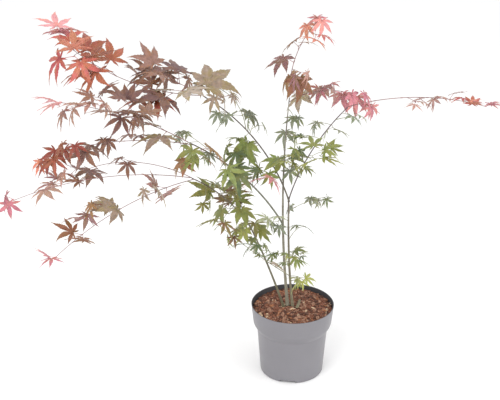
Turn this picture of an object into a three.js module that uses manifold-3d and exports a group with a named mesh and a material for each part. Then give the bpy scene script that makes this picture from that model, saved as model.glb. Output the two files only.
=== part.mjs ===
// A young Japanese maple of several stems in a round nursery pot. Millimetres, +Z up.
// The origin is the middle of the pot's flat underside. The front of the plant looks along -Y,
// and its long arching shoots reach out along -X.
// Every shoot carries its leaves in opposite pairs, as a maple does.

import * as THREE from "three";
import { mergeVertices } from "three/addons/utils/BufferGeometryUtils.js";
import Module from "manifold-3d";

const wasm = await Module();
wasm.setup();

// The pot, a thin moulded shell with a deep collar under its rim
const RIM_RADIUS = 95;
const POT_HEIGHT = 170;
const WALL = 2;
const COLLAR_DROP = 46;
const COLLAR_FOOT_RADIUS = 90;
const STEP_DROP = 60;
const BODY_TOP_RADIUS = 81;
const BODY_FOOT_RADIUS = 73;
const FOOT_ROUNDING = 4;
const POT_SIDES = 36;

// Three notches in the foot let water out
const NOTCHES = 3;
const FRONT_NOTCH_HEADING = 261;
const NOTCH_WIDTH = 36;
const NOTCH_HEIGHT = 7;
const NOTCH_INNER_RADIUS = 52;
const DRAIN_RADIUS = 4;
const DRAIN_FROM_AXIS = 61;

// The growing mix fills the pot to a little below its rim
const MIX_DROP = 9;
const MIX_EDGE_SAG = 3;
const MIX_FLAT_RADIUS = 40;

// Neighbouring solids lie this far apart, and folds of a leaf mass finer than the finest are merged
const CLEARANCE = 0.3;
const FINEST = 0.02;

// Limbs
const GROUND = POT_HEIGHT - MIX_DROP + CLEARANCE;
const LIMB_SIDES = 6;
const LIMB_STEP = 30;
const FLARE_REACH = 14;
const ROOT = 6;

// Leaves, in shares of the leaf's length, but for their stalks and the length up to which a
// leaf's lobes are plain wedges
const PLAIN_LEAF = 46;
const HEART_THICKNESS = 1 / 34;
const HEART_REACH = 0.05;
const NOTCH_DEPTH = 0.27;
const LOBE_WIDEST = 0.56;
const LOBE_HALF_WIDTH = 0.115;
const LOBES = [
  { angle: -92, reach: 0.62, shouldered: false },
  { angle: -45, reach: 0.9, shouldered: true },
  { angle: 0, reach: 1, shouldered: true },
  { angle: 45, reach: 0.9, shouldered: true },
  { angle: 92, reach: 0.62, shouldered: false },
];
const BLADE_DROOP = 0.14;
const STALK_LENGTH = 0.42;
const STALK_HALF_WIDTH = 0.7;
const STALK_DEPTH = 1.1;
const STALK_SINK = 0.5;
const STALK_BEND = 0.35;

// The rule by which leaves stand on a shoot
const BARE_SHARE = 0.16;
const FIRST_PAIR = 0.2;
const CROWDING = 1.25;
const PAIR_SPREAD = 62;
const PAIR_PHASE = 35;
const STAGGER = 2;
const TIP_SHRINK = 0.28;
const TWIG_SHARE = 0.12;
const TWIG_LENGTH = 0.6;
const TWIG_RADIUS = 0.7;
const SWINGS = [0, 24, -24, 48, -48, 72];
const SHOOT_STEP = 30;
const SHOOT_SIDES = 3;
const LONG_SHOOT_RADIUS = 1.1;
const SHORT_SHOOT_RADIUS = 0.9;
const SHOOT_TIP_RADIUS = 0.7;
const SHORT_SHOOT_DROOP = 20;

const UP = new THREE.Vector3(0, 0, 1);
const rad = THREE.MathUtils.degToRad;

// A repeatable stream of numbers from 0 to 1.
function seeded(seed) {
  let state = seed;
  return () => {
    state = (state * 1664525 + 1013904223) % 4294967296;
    return state / 4294967296;
  };
}

function solidFrom(geometry) {
  const bare = geometry.clone();
  bare.deleteAttribute("normal");
  bare.deleteAttribute("uv");
  const merged = mergeVertices(bare, 1e-4);
  return new wasm.Manifold(
    new wasm.Mesh({
      numProp: 3,
      vertProperties: new Float32Array(merged.attributes.position.array),
      triVerts: new Uint32Array(merged.index.array),
    }),
  );
}

function geometryFrom(solid) {
  const mesh = solid.getMesh();
  const geometry = new THREE.BufferGeometry();
  geometry.setAttribute("position", new THREE.BufferAttribute(mesh.vertProperties, 3));
  geometry.setIndex(new THREE.BufferAttribute(mesh.triVerts, 1));
  geometry.computeVertexNormals();
  return geometry;
}

// Cutting can leave loose scraps, and only the largest body is the piece.
function largest(solid) {
  const bodies = solid.decompose();
  return bodies.reduce((best, body) => (body.volume() > best.volume() ? body : best));
}

function direction(heading, climb) {
  const level = Math.cos(rad(climb));
  return new THREE.Vector3(
    level * Math.cos(rad(heading)),
    level * Math.sin(rad(heading)),
    Math.sin(rad(climb)),
  );
}

// The line of a limb that sets off from foot and turns evenly as it grows.
function grow(foot, size, stepLength) {
  const steps = Math.max(2, Math.round(size.length / stepLength));
  const points = [foot.clone()];
  for (let i = 0; i < steps; i += 1) {
    const share = (i + 0.5) / steps;
    const way = direction(size.heading + size.turn * share, size.climb - size.droop * share);
    points.push(points[i].clone().addScaledVector(way, size.length / steps));
  }
  return points;
}

// A closed tube along points. radiusAt gives its radius at a share of its length, spare makes it
// that much larger all round, and root lengthens it backwards from its foot.
function tube(points, radiusAt, sides, spare = 0, root = 0) {
  const steps = points.length - 1;
  const line = points.map((point) => point.clone());
  const back = points[0].clone().sub(points[1]).normalize();
  const ahead = points[steps].clone().sub(points[steps - 1]).normalize();
  line[0].addScaledVector(back, spare + root);
  line[steps].addScaledVector(ahead, spare);
  const frames = new THREE.CatmullRomCurve3(line).computeFrenetFrames(steps, false);
  const geometry = new THREE.CylinderGeometry(1, 1, 1, sides, steps);
  const place = geometry.attributes.position;
  for (let i = 0; i < place.count; i += 1) {
    const ring = Math.round((place.getY(i) + 0.5) * steps);
    const radius = radiusAt(ring / steps) + spare;
    const point = line[ring].clone();
    point.addScaledVector(frames.normals[ring], place.getX(i) * radius);
    point.addScaledVector(frames.binormals[ring], -place.getZ(i) * radius);
    place.setXYZ(i, point.x, point.y, point.z);
  }
  return solidFrom(geometry);
}

// The outside radius of the pot's wall at a height.
function wallRadius(height) {
  const stepFoot = POT_HEIGHT - STEP_DROP;
  const collarFoot = POT_HEIGHT - COLLAR_DROP;
  if (height <= stepFoot) {
    return THREE.MathUtils.mapLinear(height, 0, stepFoot, BODY_FOOT_RADIUS, BODY_TOP_RADIUS);
  }
  if (height <= collarFoot) {
    return THREE.MathUtils.mapLinear(
      height,
      stepFoot,
      collarFoot,
      BODY_TOP_RADIUS,
      COLLAR_FOOT_RADIUS,
    );
  }
  return THREE.MathUtils.mapLinear(
    height,
    collarFoot,
    POT_HEIGHT,
    COLLAR_FOOT_RADIUS,
    RIM_RADIUS,
  );
}

const WALL_HEIGHTS = [POT_HEIGHT, POT_HEIGHT - COLLAR_DROP, POT_HEIGHT - STEP_DROP];

// Blocks at the notches' places, each reaching out through the wall.
function notchBlocks(spare, height) {
  const deep = RIM_RADIUS - NOTCH_INNER_RADIUS;
  const blocks = [];
  for (let i = 0; i < NOTCHES; i += 1) {
    const geometry = new THREE.BoxGeometry(deep + spare * 2, NOTCH_WIDTH + spare * 2, height * 2);
    geometry.translate(NOTCH_INNER_RADIUS + deep / 2, 0, 0);
    geometry.rotateZ(rad(FRONT_NOTCH_HEADING + (360 / NOTCHES) * i));
    blocks.push(solidFrom(geometry));
  }
  return wasm.Manifold.union(blocks);
}

function drains() {
  const holes = [];
  for (let i = 0; i < NOTCHES; i += 1) {
    const geometry = new THREE.CylinderGeometry(DRAIN_RADIUS, DRAIN_RADIUS, NOTCH_HEIGHT * 4, 12);
    geometry.rotateX(rad(90));
    geometry.translate(DRAIN_FROM_AXIS, 0, 0);
    geometry.rotateZ(rad(FRONT_NOTCH_HEADING + (360 / NOTCHES) * i));
    holes.push(solidFrom(geometry));
  }
  return wasm.Manifold.union(holes);
}

function lathe(profile, sides) {
  const points = profile.map(([radius, height]) => new THREE.Vector2(radius, height));
  const geometry = new THREE.LatheGeometry(points, sides);
  geometry.rotateX(rad(90));
  return solidFrom(geometry);
}

function footCorner() {
  const corner = [];
  for (let i = 0; i <= 2; i += 1) {
    const angle = rad(45 * i);
    corner.push([
      BODY_FOOT_RADIUS - FOOT_ROUNDING + FOOT_ROUNDING * Math.sin(angle),
      FOOT_ROUNDING * (1 - Math.cos(angle)),
    ]);
  }
  return corner;
}

function pot() {
  const outside = WALL_HEIGHTS.map((height) => [wallRadius(height), height]);
  const inside = outside.map(([radius, height]) => [radius - WALL, height]);
  const envelope = lathe([[0, 0], ...footCorner(), ...outside.toReversed(), [0, POT_HEIGHT]], POT_SIDES);
  const bore = lathe(
    [
      [0, WALL],
      [wallRadius(WALL) - WALL, WALL],
      ...inside.toReversed().map(([radius, height], i) => [radius, i === 2 ? height + WALL : height]),
      [0, POT_HEIGHT + WALL],
    ],
    POT_SIDES,
  );
  const pockets = notchBlocks(WALL, NOTCH_HEIGHT + WALL).intersect(envelope);
  const shell = envelope.subtract(bore).add(pockets);
  return largest(shell.subtract(notchBlocks(0, NOTCH_HEIGHT)).subtract(drains()));
}

function mix() {
  const gap = WALL + CLEARANCE;
  const top = POT_HEIGHT - MIX_DROP;
  const side = WALL_HEIGHTS.slice(1).map((height) => [wallRadius(height) - gap, height]);
  const body = lathe(
    [
      [0, gap],
      [wallRadius(gap) - gap, gap],
      ...side.toReversed(),
      [wallRadius(top - MIX_EDGE_SAG) - gap, top - MIX_EDGE_SAG],
      [MIX_FLAT_RADIUS, top],
      [0, top],
    ],
    POT_SIDES,
  );
  return largest(body.subtract(notchBlocks(gap, NOTCH_HEIGHT + gap)));
}

// Stems and boughs. A stem rises from its foot on the growing mix, and a bough leaves the
// limb it is on at a share of that limb's length. Headings run anticlockwise from +X.
const LIMBS = {
  stem_main: {
    foot: [-11, 6], length: 495, heading: 155, turn: 40, climb: 83.5, droop: -12,
    radii: [4.8, 1.4], flare: 2.2,
  },
  stem_right: {
    foot: [0, -1], length: 270, heading: 200, turn: 40, climb: 83, droop: -7,
    radii: [3.2, 1.9], flare: 1.5,
  },
  stem_left: {
    foot: [-21, 0], length: 230, heading: 205, turn: -5, climb: 72, droop: 6,
    radii: [2.8, 1.7], flare: 1.2,
  },
  pruned_stub: {
    foot: [10, -6], length: 22, heading: 20, turn: 0, climb: 66, droop: -10,
    radii: [3.4, 2.6], flare: 0.8,
  },
  bough_left: {
    on: "stem_main", at: 0.41, length: 305, heading: 203, turn: -8, climb: 61, droop: 31,
    radii: [2.2, 1.3],
  },
  bough_high: {
    on: "stem_right", at: 1, length: 300, heading: 152, turn: 16, climb: 68, droop: 41,
    radii: [1.8, 1.2],
  },
  bough_right: {
    on: "stem_right", at: 1, length: 255, heading: -24, turn: 12, climb: 74, droop: 26,
    radii: [1.5, 1.1],
  },
  bough_low: {
    on: "stem_left", at: 1, length: 170, heading: 169, turn: 4, climb: 57, droop: 35,
    radii: [1.6, 1.2],
  },
};

// Colours of the foliage, from the oldest leaves to the newest
const LIME = 0x9db84e;
const GREEN = 0x73934f;
const OLIVE = 0x8a8b52;
const BRONZE = 0xa87a55;
const MAUVE = 0x9c7670;
const CORAL = 0xd9806c;
const ROSE = 0xe08a90;

// The long arching shoots. Each is one mass of leaves on its own stem. A row holds its name, its
// limb, the share of that limb it springs from, then the shoot's length, heading, turn, climb and
// droop, and then its pairs of leaves, a leaf's length, how far the leaves hang from level to
// down, the seed of its growth, and its colour.
const LONG_SHOOTS = [
  ["leader_top", "stem_main", 1, 173, 34, -38, 93, 45, 5, 55, 0.6, 554, BRONZE],
  ["leader_arch", "stem_main", 0.98, 199, 27, -6, 24, 62, 5, 59, 0.75, 1898, ROSE],
  ["right_reach", "bough_right", 1, 278, -10, 0, 19, 32, 6, 40, -0.28, 2079, CORAL],
  ["high_far", "bough_high", 1, 330, 191, 7, 4, -43, 6, 82, -0.44, 988, CORAL],
  ["high_near", "bough_high", 0.93, 172, 143, 7, 23, 28, 4, 82, -0.3, 857, MAUVE],
  ["high_back", "bough_high", 0.6, 194, 100, 50, 43, 46, 3, 52, 0.65, 94, OLIVE],
  ["left_far", "bough_left", 1, 282, 200, 1, 34, 21, 5, 64, -0.36, 643, MAUVE],
  ["left_mid", "bough_left", 0.96, 350, 166, 1, 5, 29, 5, 59, 0.31, 2301, MAUVE],
  ["low_rise", "bough_low", 0.9, 358, 160, 3, 23, 62, 2, 56, -0.28, 2077, MAUVE],
  ["low_arch", "bough_low", 1, 382, 190, 0, 12, 32, 4, 62, 0.73, 2242, ROSE],
  ["low_drop", "bough_low", 0.96, 352, 213, 10, -1, 27, 4, 57, -0.37, 456, BRONZE],
  ["low_cross", "stem_right", 0.3, 230, 203, 4, 39, -7, 3, 44, -0.39, 2531, GREEN],
];

// The short shoots, by the same columns without turn and droop.
const SHORT_SHOOTS = [
  ["main_rear_high", "stem_main", 0.95, 45, 66, -30, 2, 36, 0.89, 2134, GREEN],
  ["main_rear_mid", "stem_main", 0.81, 59, 79, 5, 1, 40, 0.89, 1154, GREEN],
  ["main_front", "stem_main", 0.71, 79, 275, 30, 3, 42, 0.08, 1170, LIME],
  ["right_rear", "bough_right", 0.78, 82, 80, -10, 1, 40, 0.41, 2520, GREEN],
  ["right_front", "bough_right", 0.66, 62, 262, 12, 1, 46, -0.4, 2746, GREEN],
  ["right_inner", "bough_right", 0.45, 77, 276, 25, 1, 47, -0.03, 3543, GREEN],
  ["right_outer", "bough_right", 0.85, 48, 315, 27, 1, 36, 0.24, 710, OLIVE],
  ["high_inner", "bough_high", 0.18, 58, 238, 37, 1, 44, 0.69, 1307, GREEN],
  ["high_front", "bough_high", 0.48, 45, 202, -3, 2, 59, 0.57, 545, GREEN],
  ["high_crest", "bough_high", 0.56, 48, 75, 30, 1, 39, 0.8, 413, GREEN],
  ["high_hanging", "bough_high", 0.93, 47, 292, 28, 2, 42, 0.7, 2362, BRONZE],
  ["left_front", "bough_left", 0.69, 65, 279, 13, 2, 52, 0.42, 3272, GREEN],
  ["left_rear", "bough_left", 0.78, 112, 130, 23, 1, 30, 0.84, 231, GREEN],
  ["left_salmon", "bough_left", 0.4, 69, 293, 46, 1, 52, 0.14, 3477, ROSE],
  ["left_hanging", "bough_left", 0.9, 54, 274, 14, 3, 56, 0.54, 1592, BRONZE],
  ["low_crest", "bough_low", 0.59, 81, 85, -15, 2, 59, -0.2, 705, OLIVE],
  ["low_front", "bough_low", 0.79, 51, 272, -3, 1, 32, 0.89, 995, GREEN],
  ["low_heart", "bough_low", 0.34, 99, 256, 13, 2, 46, 0.3, 2884, OLIVE],
  ["low_under", "bough_low", 0.1, 50, 235, -8, 1, 34, 0.85, 3095, GREEN],
  ["low_rear", "bough_low", 0.38, 105, 89, -12, 2, 37, -0.22, 977, GREEN],
  ["stem_left_rear", "stem_left", 0.93, 80, 97, 0, 2, 47, 0.47, 197, GREEN],
  ["stem_left_front", "stem_left", 0.88, 51, 280, 12, 2, 27, 0.7, 2374, OLIVE],
  ["stem_left_low", "stem_left", 0.71, 60, 295, 28, 1, 26, 0.83, 3965, GREEN],
  ["right_foot_high", "stem_right", 0.81, 92, 248, 37, 1, 37, -0.07, 228, OLIVE],
  ["right_foot_rear", "stem_right", 0.9, 125, 52, 5, 3, 32, 0.87, 3388, OLIVE],
  ["right_foot_mid", "stem_right", 0.64, 53, 310, 62, 1, 30, 0.21, 2482, GREEN],
  ["right_foot_front", "stem_right", 0.54, 100, 279, 22, 2, 27, -0.04, 834, GREEN],
  ["right_foot_bright", "stem_right", 0.38, 80, 267, 50, 2, 30, 0.65, 2254, LIME],
  ["right_foot_side", "stem_right", 0.3, 41, 302, 29, 1, 37, -0.04, 2964, LIME],
  ["right_foot_low", "stem_right", 0.25, 99, 281, 34, 2, 28, 0.3, 3917, LIME],
];

const paths = new Map();
const solids = new Map();
const grownSolids = new Map();

// The point and way of a limb at a share of its length.
function along(points, share) {
  const steps = points.length - 1;
  const step = Math.min(Math.floor(share * steps), steps - 1);
  const way = points[step + 1].clone().sub(points[step]);
  const point = points[step].clone().addScaledVector(way, share * steps - step);
  return { point, way: way.normalize() };
}

function taper(radii, length, flare = 0) {
  return (share) =>
    THREE.MathUtils.lerp(radii[0], radii[1], share) +
    flare * Math.exp((-share * length) / FLARE_REACH);
}

function boxesMeet(a, b) {
  return [0, 1, 2].every((axis) => a.min[axis] <= b.max[axis] && b.min[axis] <= a.max[axis]);
}

// A solid cut clear of everything near it that is already there.
function cutClear(solid) {
  const box = solid.boundingBox();
  let clear = solid;
  for (const grown of grownSolids.values()) {
    if (boxesMeet(box, grown.boundingBox())) clear = clear.subtract(grown);
  }
  return largest(clear);
}

// Adds a limb's line and its solid, cut clear of the limbs before it. A limb that stands on the
// growing mix is cut off level just above it.
function addLimb(name, foot, size, radiusAt, sides, stepLength, root = 0) {
  const points = grow(foot, size, stepLength);
  const whole = tube(points, radiusAt, sides, 0, root);
  const level = root > 0 ? whole.trimByPlane([0, 0, 1], GROUND) : whole;
  paths.set(name, points);
  solids.set(name, cutClear(level));
  grownSolids.set(name, tube(points, radiusAt, sides, CLEARANCE, root));
}

function footOf(limb, share, size) {
  const { point, way } = along(paths.get(limb), share);
  if (share < 1) return point;
  return point.addScaledVector(way, CLEARANCE * 1.5);
}

// The outline of a blade of five lobes lying flat, from one side of its stalk round to the other.
// Its foot is the origin, and its middle lobe runs along +Y.
function bladeOutline(length) {
  const at = (angle, reach) => [
    Math.sin(rad(angle)) * reach * length,
    Math.cos(rad(angle)) * reach * length,
  ];
  const outline = [[-STALK_HALF_WIDTH, 0]];
  LOBES.forEach(({ angle, reach, shouldered }, i) => {
    if (i > 0) outline.push(at((LOBES[i - 1].angle + angle) / 2, NOTCH_DEPTH));
    const widest = reach * LOBE_WIDEST;
    const side = THREE.MathUtils.radToDeg(Math.atan2(LOBE_HALF_WIDTH * reach, widest));
    const full = shouldered && length > PLAIN_LEAF;
    if (full) outline.push(at(angle - side, widest));
    outline.push(at(angle, reach));
    if (full) outline.push(at(angle + side, widest));
  });
  outline.push([STALK_HALF_WIDTH, 0]);
  return outline;
}

// One stalked leaf. It leaves node along out. Its blade hangs by a share from level to down,
// turned aside by turn and rolled about its middle lobe by roll. The blade is thickest at its
// heart and runs out to a thin edge, and its stalk is three-sided.
function leaf(node, out, hang, turn, roll, length) {
  const stalk = length * STALK_LENGTH;
  const bent = out.clone().addScaledVector(UP, -STALK_BEND * Math.max(hang, 0)).normalize();
  const base = node.clone().addScaledVector(out, stalk / 2).addScaledVector(bent, stalk / 2);
  const level = new THREE.Vector3(out.x, out.y, 0).normalize().applyAxisAngle(UP, turn);
  const side = new THREE.Vector3().crossVectors(level, UP);
  const tilt = rad(90 * hang);
  const way = level.multiplyScalar(Math.cos(tilt)).addScaledVector(UP, -Math.sin(tilt));
  const across = side.clone().applyAxisAngle(way, roll);
  const face = new THREE.Vector3().crossVectors(across, way);
  const foot = node.clone().addScaledVector(out, -STALK_SINK);
  const thick = length * HEART_THICKNESS;

  const onBlade = ([x, y], z) => {
    const sag = (BLADE_DROOP * (x * x + y * y)) / length;
    const point = base.clone().addScaledVector(across, x).addScaledVector(way, y);
    return point.addScaledVector(face, z - sag);
  };
  const points = bladeOutline(length).map((place) => onBlade(place, 0));
  const rim = points.length;
  const [top, under, left, right, keel] = [rim, rim + 1, rim + 2, rim + 3, rim + 4];
  points.push(onBlade([0, HEART_REACH * length], thick / 2));
  points.push(onBlade([0, HEART_REACH * length], -thick / 2));
  points.push(foot.clone().addScaledVector(side, -STALK_HALF_WIDTH));
  points.push(foot.clone().addScaledVector(side, STALK_HALF_WIDTH));
  points.push(foot.clone().addScaledVector(UP, -STALK_DEPTH));
  const faces = [top, 0, rim - 1, 0, left, right, 0, right, rim - 1];
  faces.push(rim - 1, right, keel, rim - 1, keel, under, left, 0, under, left, under, keel);
  faces.push(right, left, keel);
  for (let i = 0; i < rim - 1; i += 1) faces.push(top, i + 1, i, under, i, i + 1);
  const geometry = new THREE.BufferGeometry().setFromPoints(points);
  geometry.setIndex(faces);
  return solidFrom(geometry);
}

function clearOfOthers(solid, own, others) {
  const box = solid.boundingBox();
  for (const [name, other] of others) {
    if (name === own || !boxesMeet(box, other.boundingBox())) continue;
    if (solid.minGap(other, CLEARANCE) < CLEARANCE) return false;
  }
  return true;
}

// The two buds of a pair sit a little apart along their shoot.
function staggered(point, way, hand) {
  return point.clone().addScaledVector(way, hand < 0 ? -STAGGER : 0);
}

// The buds of a shoot stand in opposite pairs, closer together towards its tip.
function budsOf(shoot) {
  const buds = [];
  for (let pair = 0; pair < shoot.pairs; pair += 1) {
    const order = shoot.pairs > 1 ? pair / (shoot.pairs - 1) : 1;
    const first = shoot.pairs > 1 ? FIRST_PAIR : 1;
    const share = first + (1 - first) * (1 - (1 - order) ** CROWDING);
    const { point, way } = along(paths.get(shoot.name), Math.min(share, 0.995));
    const phase = (pair % 2) * PAIR_PHASE;
    const shrink = shoot.pairs > 2 ? TIP_SHRINK * order : 0;
    for (const hand of [-1, 1]) {
      const node = staggered(point, way, hand);
      buds.push({ node, way, hand, phase, shrink, last: pair === shoot.pairs - 1 });
    }
  }
  return buds;
}

// What grows from a bud, and how it stands, from eight draws of the stream.
function stance(random, shoot, bud) {
  const draws = Array.from({ length: 8 }, random);
  const [bare, branch, lift, opening, drop, aside, twist, vigour] = draws;
  const across = new THREE.Vector3().crossVectors(bud.way, UP).normalize();
  const above = new THREE.Vector3().crossVectors(across, bud.way).normalize();
  const phase = rad(bud.phase + (lift - 0.5) * 60);
  const radial = across.multiplyScalar(Math.cos(phase) * bud.hand);
  radial.addScaledVector(above, Math.sin(phase));
  const spread = rad(PAIR_SPREAD * (bud.last ? 0.75 : 1) + (opening - 0.5) * 24);
  const out = bud.way.clone().multiplyScalar(Math.cos(spread));
  out.addScaledVector(radial, Math.sin(spread)).normalize();
  return {
    missing: bare < BARE_SHARE && !bud.last,
    branching: branch < TWIG_SHARE && !bud.last && shoot.pairs > 2,
    node: bud.node,
    out,
    hang: THREE.MathUtils.clamp(shoot.hang + (drop - 0.5) * 0.7, -0.75, 0.92),
    turn: (aside - 0.5) * 1.6,
    roll: (twist - 0.5) * 1.2,
    length: shoot.leaf * (1 - bud.shrink) * (0.85 + 0.3 * vigour),
  };
}

// A leaf that clears its neighbours, swung aside if need be, or nothing.
function fittingLeaf(name, { node, out, hang, turn, roll, length }) {
  for (const swing of SWINGS) {
    const swung = out.clone().applyAxisAngle(UP, rad(swing));
    const solid = leaf(node, swung, hang, turn, roll, length);
    if (clearOfOthers(solid, name, solids)) return [solid];
  }
  return [];
}

// The leaves of a shoot. Here and there a bud grows a twig with a pair of leaves at its end.
function foliageOf(shoot) {
  const random = seeded(shoot.seed);
  const own = [];
  for (const bud of budsOf(shoot)) {
    const place = stance(random, shoot, bud);
    if (place.missing) continue;
    if (!place.branching) {
      own.push(...fittingLeaf(shoot.name, place));
      continue;
    }
    const tip = bud.node.clone().addScaledVector(place.out, shoot.leaf * TWIG_LENGTH);
    const twig = tube([bud.node, tip], () => TWIG_RADIUS, 3);
    const fits = clearOfOthers(twig, shoot.name, solids);
    if (fits) own.push(twig);
    for (const hand of [-1, 1]) {
      const node = staggered(tip, place.out, hand);
      const end = { node, way: place.out, hand, phase: 0, shrink: TIP_SHRINK, last: true };
      const tipLeaf = stance(random, shoot, end);
      if (fits) own.push(...fittingLeaf(shoot.name, tipLeaf));
    }
  }
  return own;
}

function shootOf(name, on, at, size, radius, [pairs, leafLength, hang, seed, colour]) {
  const radii = [radius, SHOOT_TIP_RADIUS];
  return { name: `spray_${name}`, on, at, size, radii, pairs, leaf: leafLength, hang, seed, colour };
}

const group = new THREE.Group();

function show(name, solid, colour, roughness) {
  const material = new THREE.MeshStandardMaterial({ color: colour, roughness, metalness: 0 });
  const mesh = new THREE.Mesh(geometryFrom(solid), material);
  mesh.name = name;
  group.add(mesh);
}

solids.set("pot", pot());
solids.set("growing_mix", mix());
for (const [name, limb] of Object.entries(LIMBS)) {
  const foot = limb.foot
    ? new THREE.Vector3(limb.foot[0], limb.foot[1], GROUND)
    : footOf(limb.on, limb.at);
  const radiusAt = taper(limb.radii, limb.length, limb.flare);
  addLimb(name, foot, limb, radiusAt, LIMB_SIDES, LIMB_STEP, limb.foot ? ROOT : 0);
}

const shoots = [
  ...LONG_SHOOTS.map(([name, on, at, length, heading, turn, climb, droop, ...leaves]) =>
    shootOf(name, on, at, { length, heading, turn, climb, droop }, LONG_SHOOT_RADIUS, leaves),
  ),
  ...SHORT_SHOOTS.map(([name, on, at, length, heading, climb, ...leaves]) => {
    const size = { length, heading, turn: 0, climb, droop: SHORT_SHOOT_DROOP };
    return shootOf(name, on, at, size, SHORT_SHOOT_RADIUS, leaves);
  }),
];

for (const shoot of shoots) {
  const foot = footOf(shoot.on, shoot.at);
  const radiusAt = taper(shoot.radii, shoot.size.length);
  addLimb(shoot.name, foot, shoot.size, radiusAt, SHOOT_SIDES, SHOOT_STEP);
}
for (const shoot of shoots) {
  const whole = wasm.Manifold.union([solids.get(shoot.name), ...foliageOf(shoot)]);
  solids.set(shoot.name, largest(whole).asOriginal().simplify(FINEST));
}

show("pot", solids.get("pot"), 0x9a9aa2, 0.5);
show("growing_mix", solids.get("growing_mix"), 0x7a4a35, 0.95);
for (const name of Object.keys(LIMBS)) {
  show(name, solids.get(name), 0x8d9579, 0.7);
}
for (const shoot of shoots) {
  show(shoot.name, solids.get(shoot.name), shoot.colour, 0.6);
}

export default group;
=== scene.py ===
# A young Japanese maple of several thin stems in a round nursery pot, dressed around its solids.
# Lengths are in millimetres, and MM turns them into metres. Angles are in degrees, and headings
# run anticlockwise from +X. The plant's front looks along -Y, its long shoots reach along -X.

import math

import bpy
import numpy as np
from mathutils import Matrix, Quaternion, Vector, kdtree, noise


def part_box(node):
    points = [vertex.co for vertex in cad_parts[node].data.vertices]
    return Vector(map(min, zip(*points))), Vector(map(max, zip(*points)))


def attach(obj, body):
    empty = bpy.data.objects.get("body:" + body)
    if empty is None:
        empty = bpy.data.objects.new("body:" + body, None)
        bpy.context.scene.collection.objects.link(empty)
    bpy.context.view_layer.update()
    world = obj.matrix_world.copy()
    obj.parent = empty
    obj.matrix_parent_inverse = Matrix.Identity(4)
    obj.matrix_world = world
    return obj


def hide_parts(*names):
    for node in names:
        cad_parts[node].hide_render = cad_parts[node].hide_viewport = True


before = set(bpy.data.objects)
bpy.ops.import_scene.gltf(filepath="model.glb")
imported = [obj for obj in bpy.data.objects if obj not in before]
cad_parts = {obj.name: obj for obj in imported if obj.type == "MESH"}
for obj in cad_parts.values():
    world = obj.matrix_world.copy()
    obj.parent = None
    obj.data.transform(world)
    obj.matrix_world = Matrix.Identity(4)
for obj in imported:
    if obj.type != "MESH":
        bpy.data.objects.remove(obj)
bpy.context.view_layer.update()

MM = 0.001
BODY = "root"
UP = Vector((0, 0, 1))

# The pot, as in its solid
RIM_RADIUS = 95
POT_HEIGHT = 170
WALL = 2
COLLAR_FOOT = 124
COLLAR_FOOT_RADIUS = 90
STEP_FOOT = 110
STEP_LEDGE = 1.3
BODY_TOP_RADIUS = 81
BODY_FOOT_RADIUS = 73
NOTCHES = 3
FRONT_NOTCH_HEADING = 261
NOTCH_TOP_WIDTH = 34
NOTCH_FOOT_WIDTH = 40
NOTCH_HEIGHT = 7
NOTCH_INNER_RADIUS = 52
DRAIN_RADIUS = 4
DRAIN_SIDES = 24
DRAIN_FROM_AXIS = 61
POT_SIDES = 144

# How far the pot's edges are eased off, and the points of each eased edge
FOOT_EASE = 4
STEP_EASE = 0.5
COLLAR_EASE = 5
RIM_EASE = 0.9
INNER_STEP_EASE = 4
INNER_FOOT_EASE = 2
EASE_POINTS = 6

# The pot's inside is dark from this height up, where a face leans outward by less than this share.
DARK_FROM = 30
OUTWARD_LEAN = 0.3
POT_SHARP_ANGLE = 40
POT_OUTSIDE = 0x7B797E
POT_INSIDE = 0x3A3A3E

# The growing mix, a bed of fine bark under loose chips. A bump has its pace and its height.
MIX_HEIGHT = 161
MIX_EDGE_SAG = 3
MIX_RADIUS = 91.4
MIX_FOOT = 12
BED_DROP = 3
BED_SPARE = 1
BED_RING_STEP = 1.5
BED_SIDES = 180
BED_BUMPS = [(0.16, 2), (0.5, 0.8)]
FINES_COLOUR = 0x3B231B

# The chips and the smaller crumbs. Their widths and thicknesses are shares of their lengths.
CHIPS = 1900
CRUMBS = 1400
CHIP_SEED = 4021
CHIP_FORMS = 24
CHIP_SIDES = 7
CHIP_LEVELS = (-0.55, 0.1, 0.62)
CHIP_TOP = 0.9
CHIP_BULGE = 0.6
CHIP_PULLS = (0.7, 1.2)
CHIP_LEVEL_SCATTER = 0.35
CHIP_LENGTHS = (3, 8)
CHIP_LENGTH_SKEW = 1.6
CRUMB_LENGTHS = (1.4, 3)
CHIP_WIDTHS = (0.4, 0.75)
CHIP_THICKNESSES = (0.16, 0.36)
CHIP_LIFTS = (-1.6, 0.8)
CHIP_TILT = 1.3
TILT_AXIS_RISE = 0.0001
CHIP_EDGE_SPARE = 1
CHIP_STEM_SPARE = 7
CRUMB_STEM_SPARE = 4.5

# The chips' colours, each with its share of them
CHIP_COLOURS = {
    "rust": (0x80523F, 0.42),
    "umber": (0x5A3C31, 0.26),
    "tan": (0x9C7560, 0.23),
    "orange": (0xA06A4A, 0.06),
    "pale": (0xCFB294, 0.03),
}

# Limbs, as in their solids, but a little more slender
CLEARANCE = 0.3
TIP_GAP = 1.5
GROUND = MIX_HEIGHT + CLEARANCE
LIMB_STEP = 30
FLARE_REACH = 14
LIMB_SIDES = 20
LIMB_RING_STEP = 1.6
LIMB_SLENDER = 0.95
MAIN_STEM_SLENDER = 0.74

# How deep a bough's foot is sunk in its limb, at a limb's tip and at its side, and how it swells
TIP_SINK = 5
SIDE_SINK = 1
SUNK_SHARE = 0.7
FOOT_SWELLING = 0.5
FOOT_SWELLING_WIDTH = 6
END_ROUNDING = 1.2
END_LEAST = 0.02
STEEP = 0.9

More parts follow.
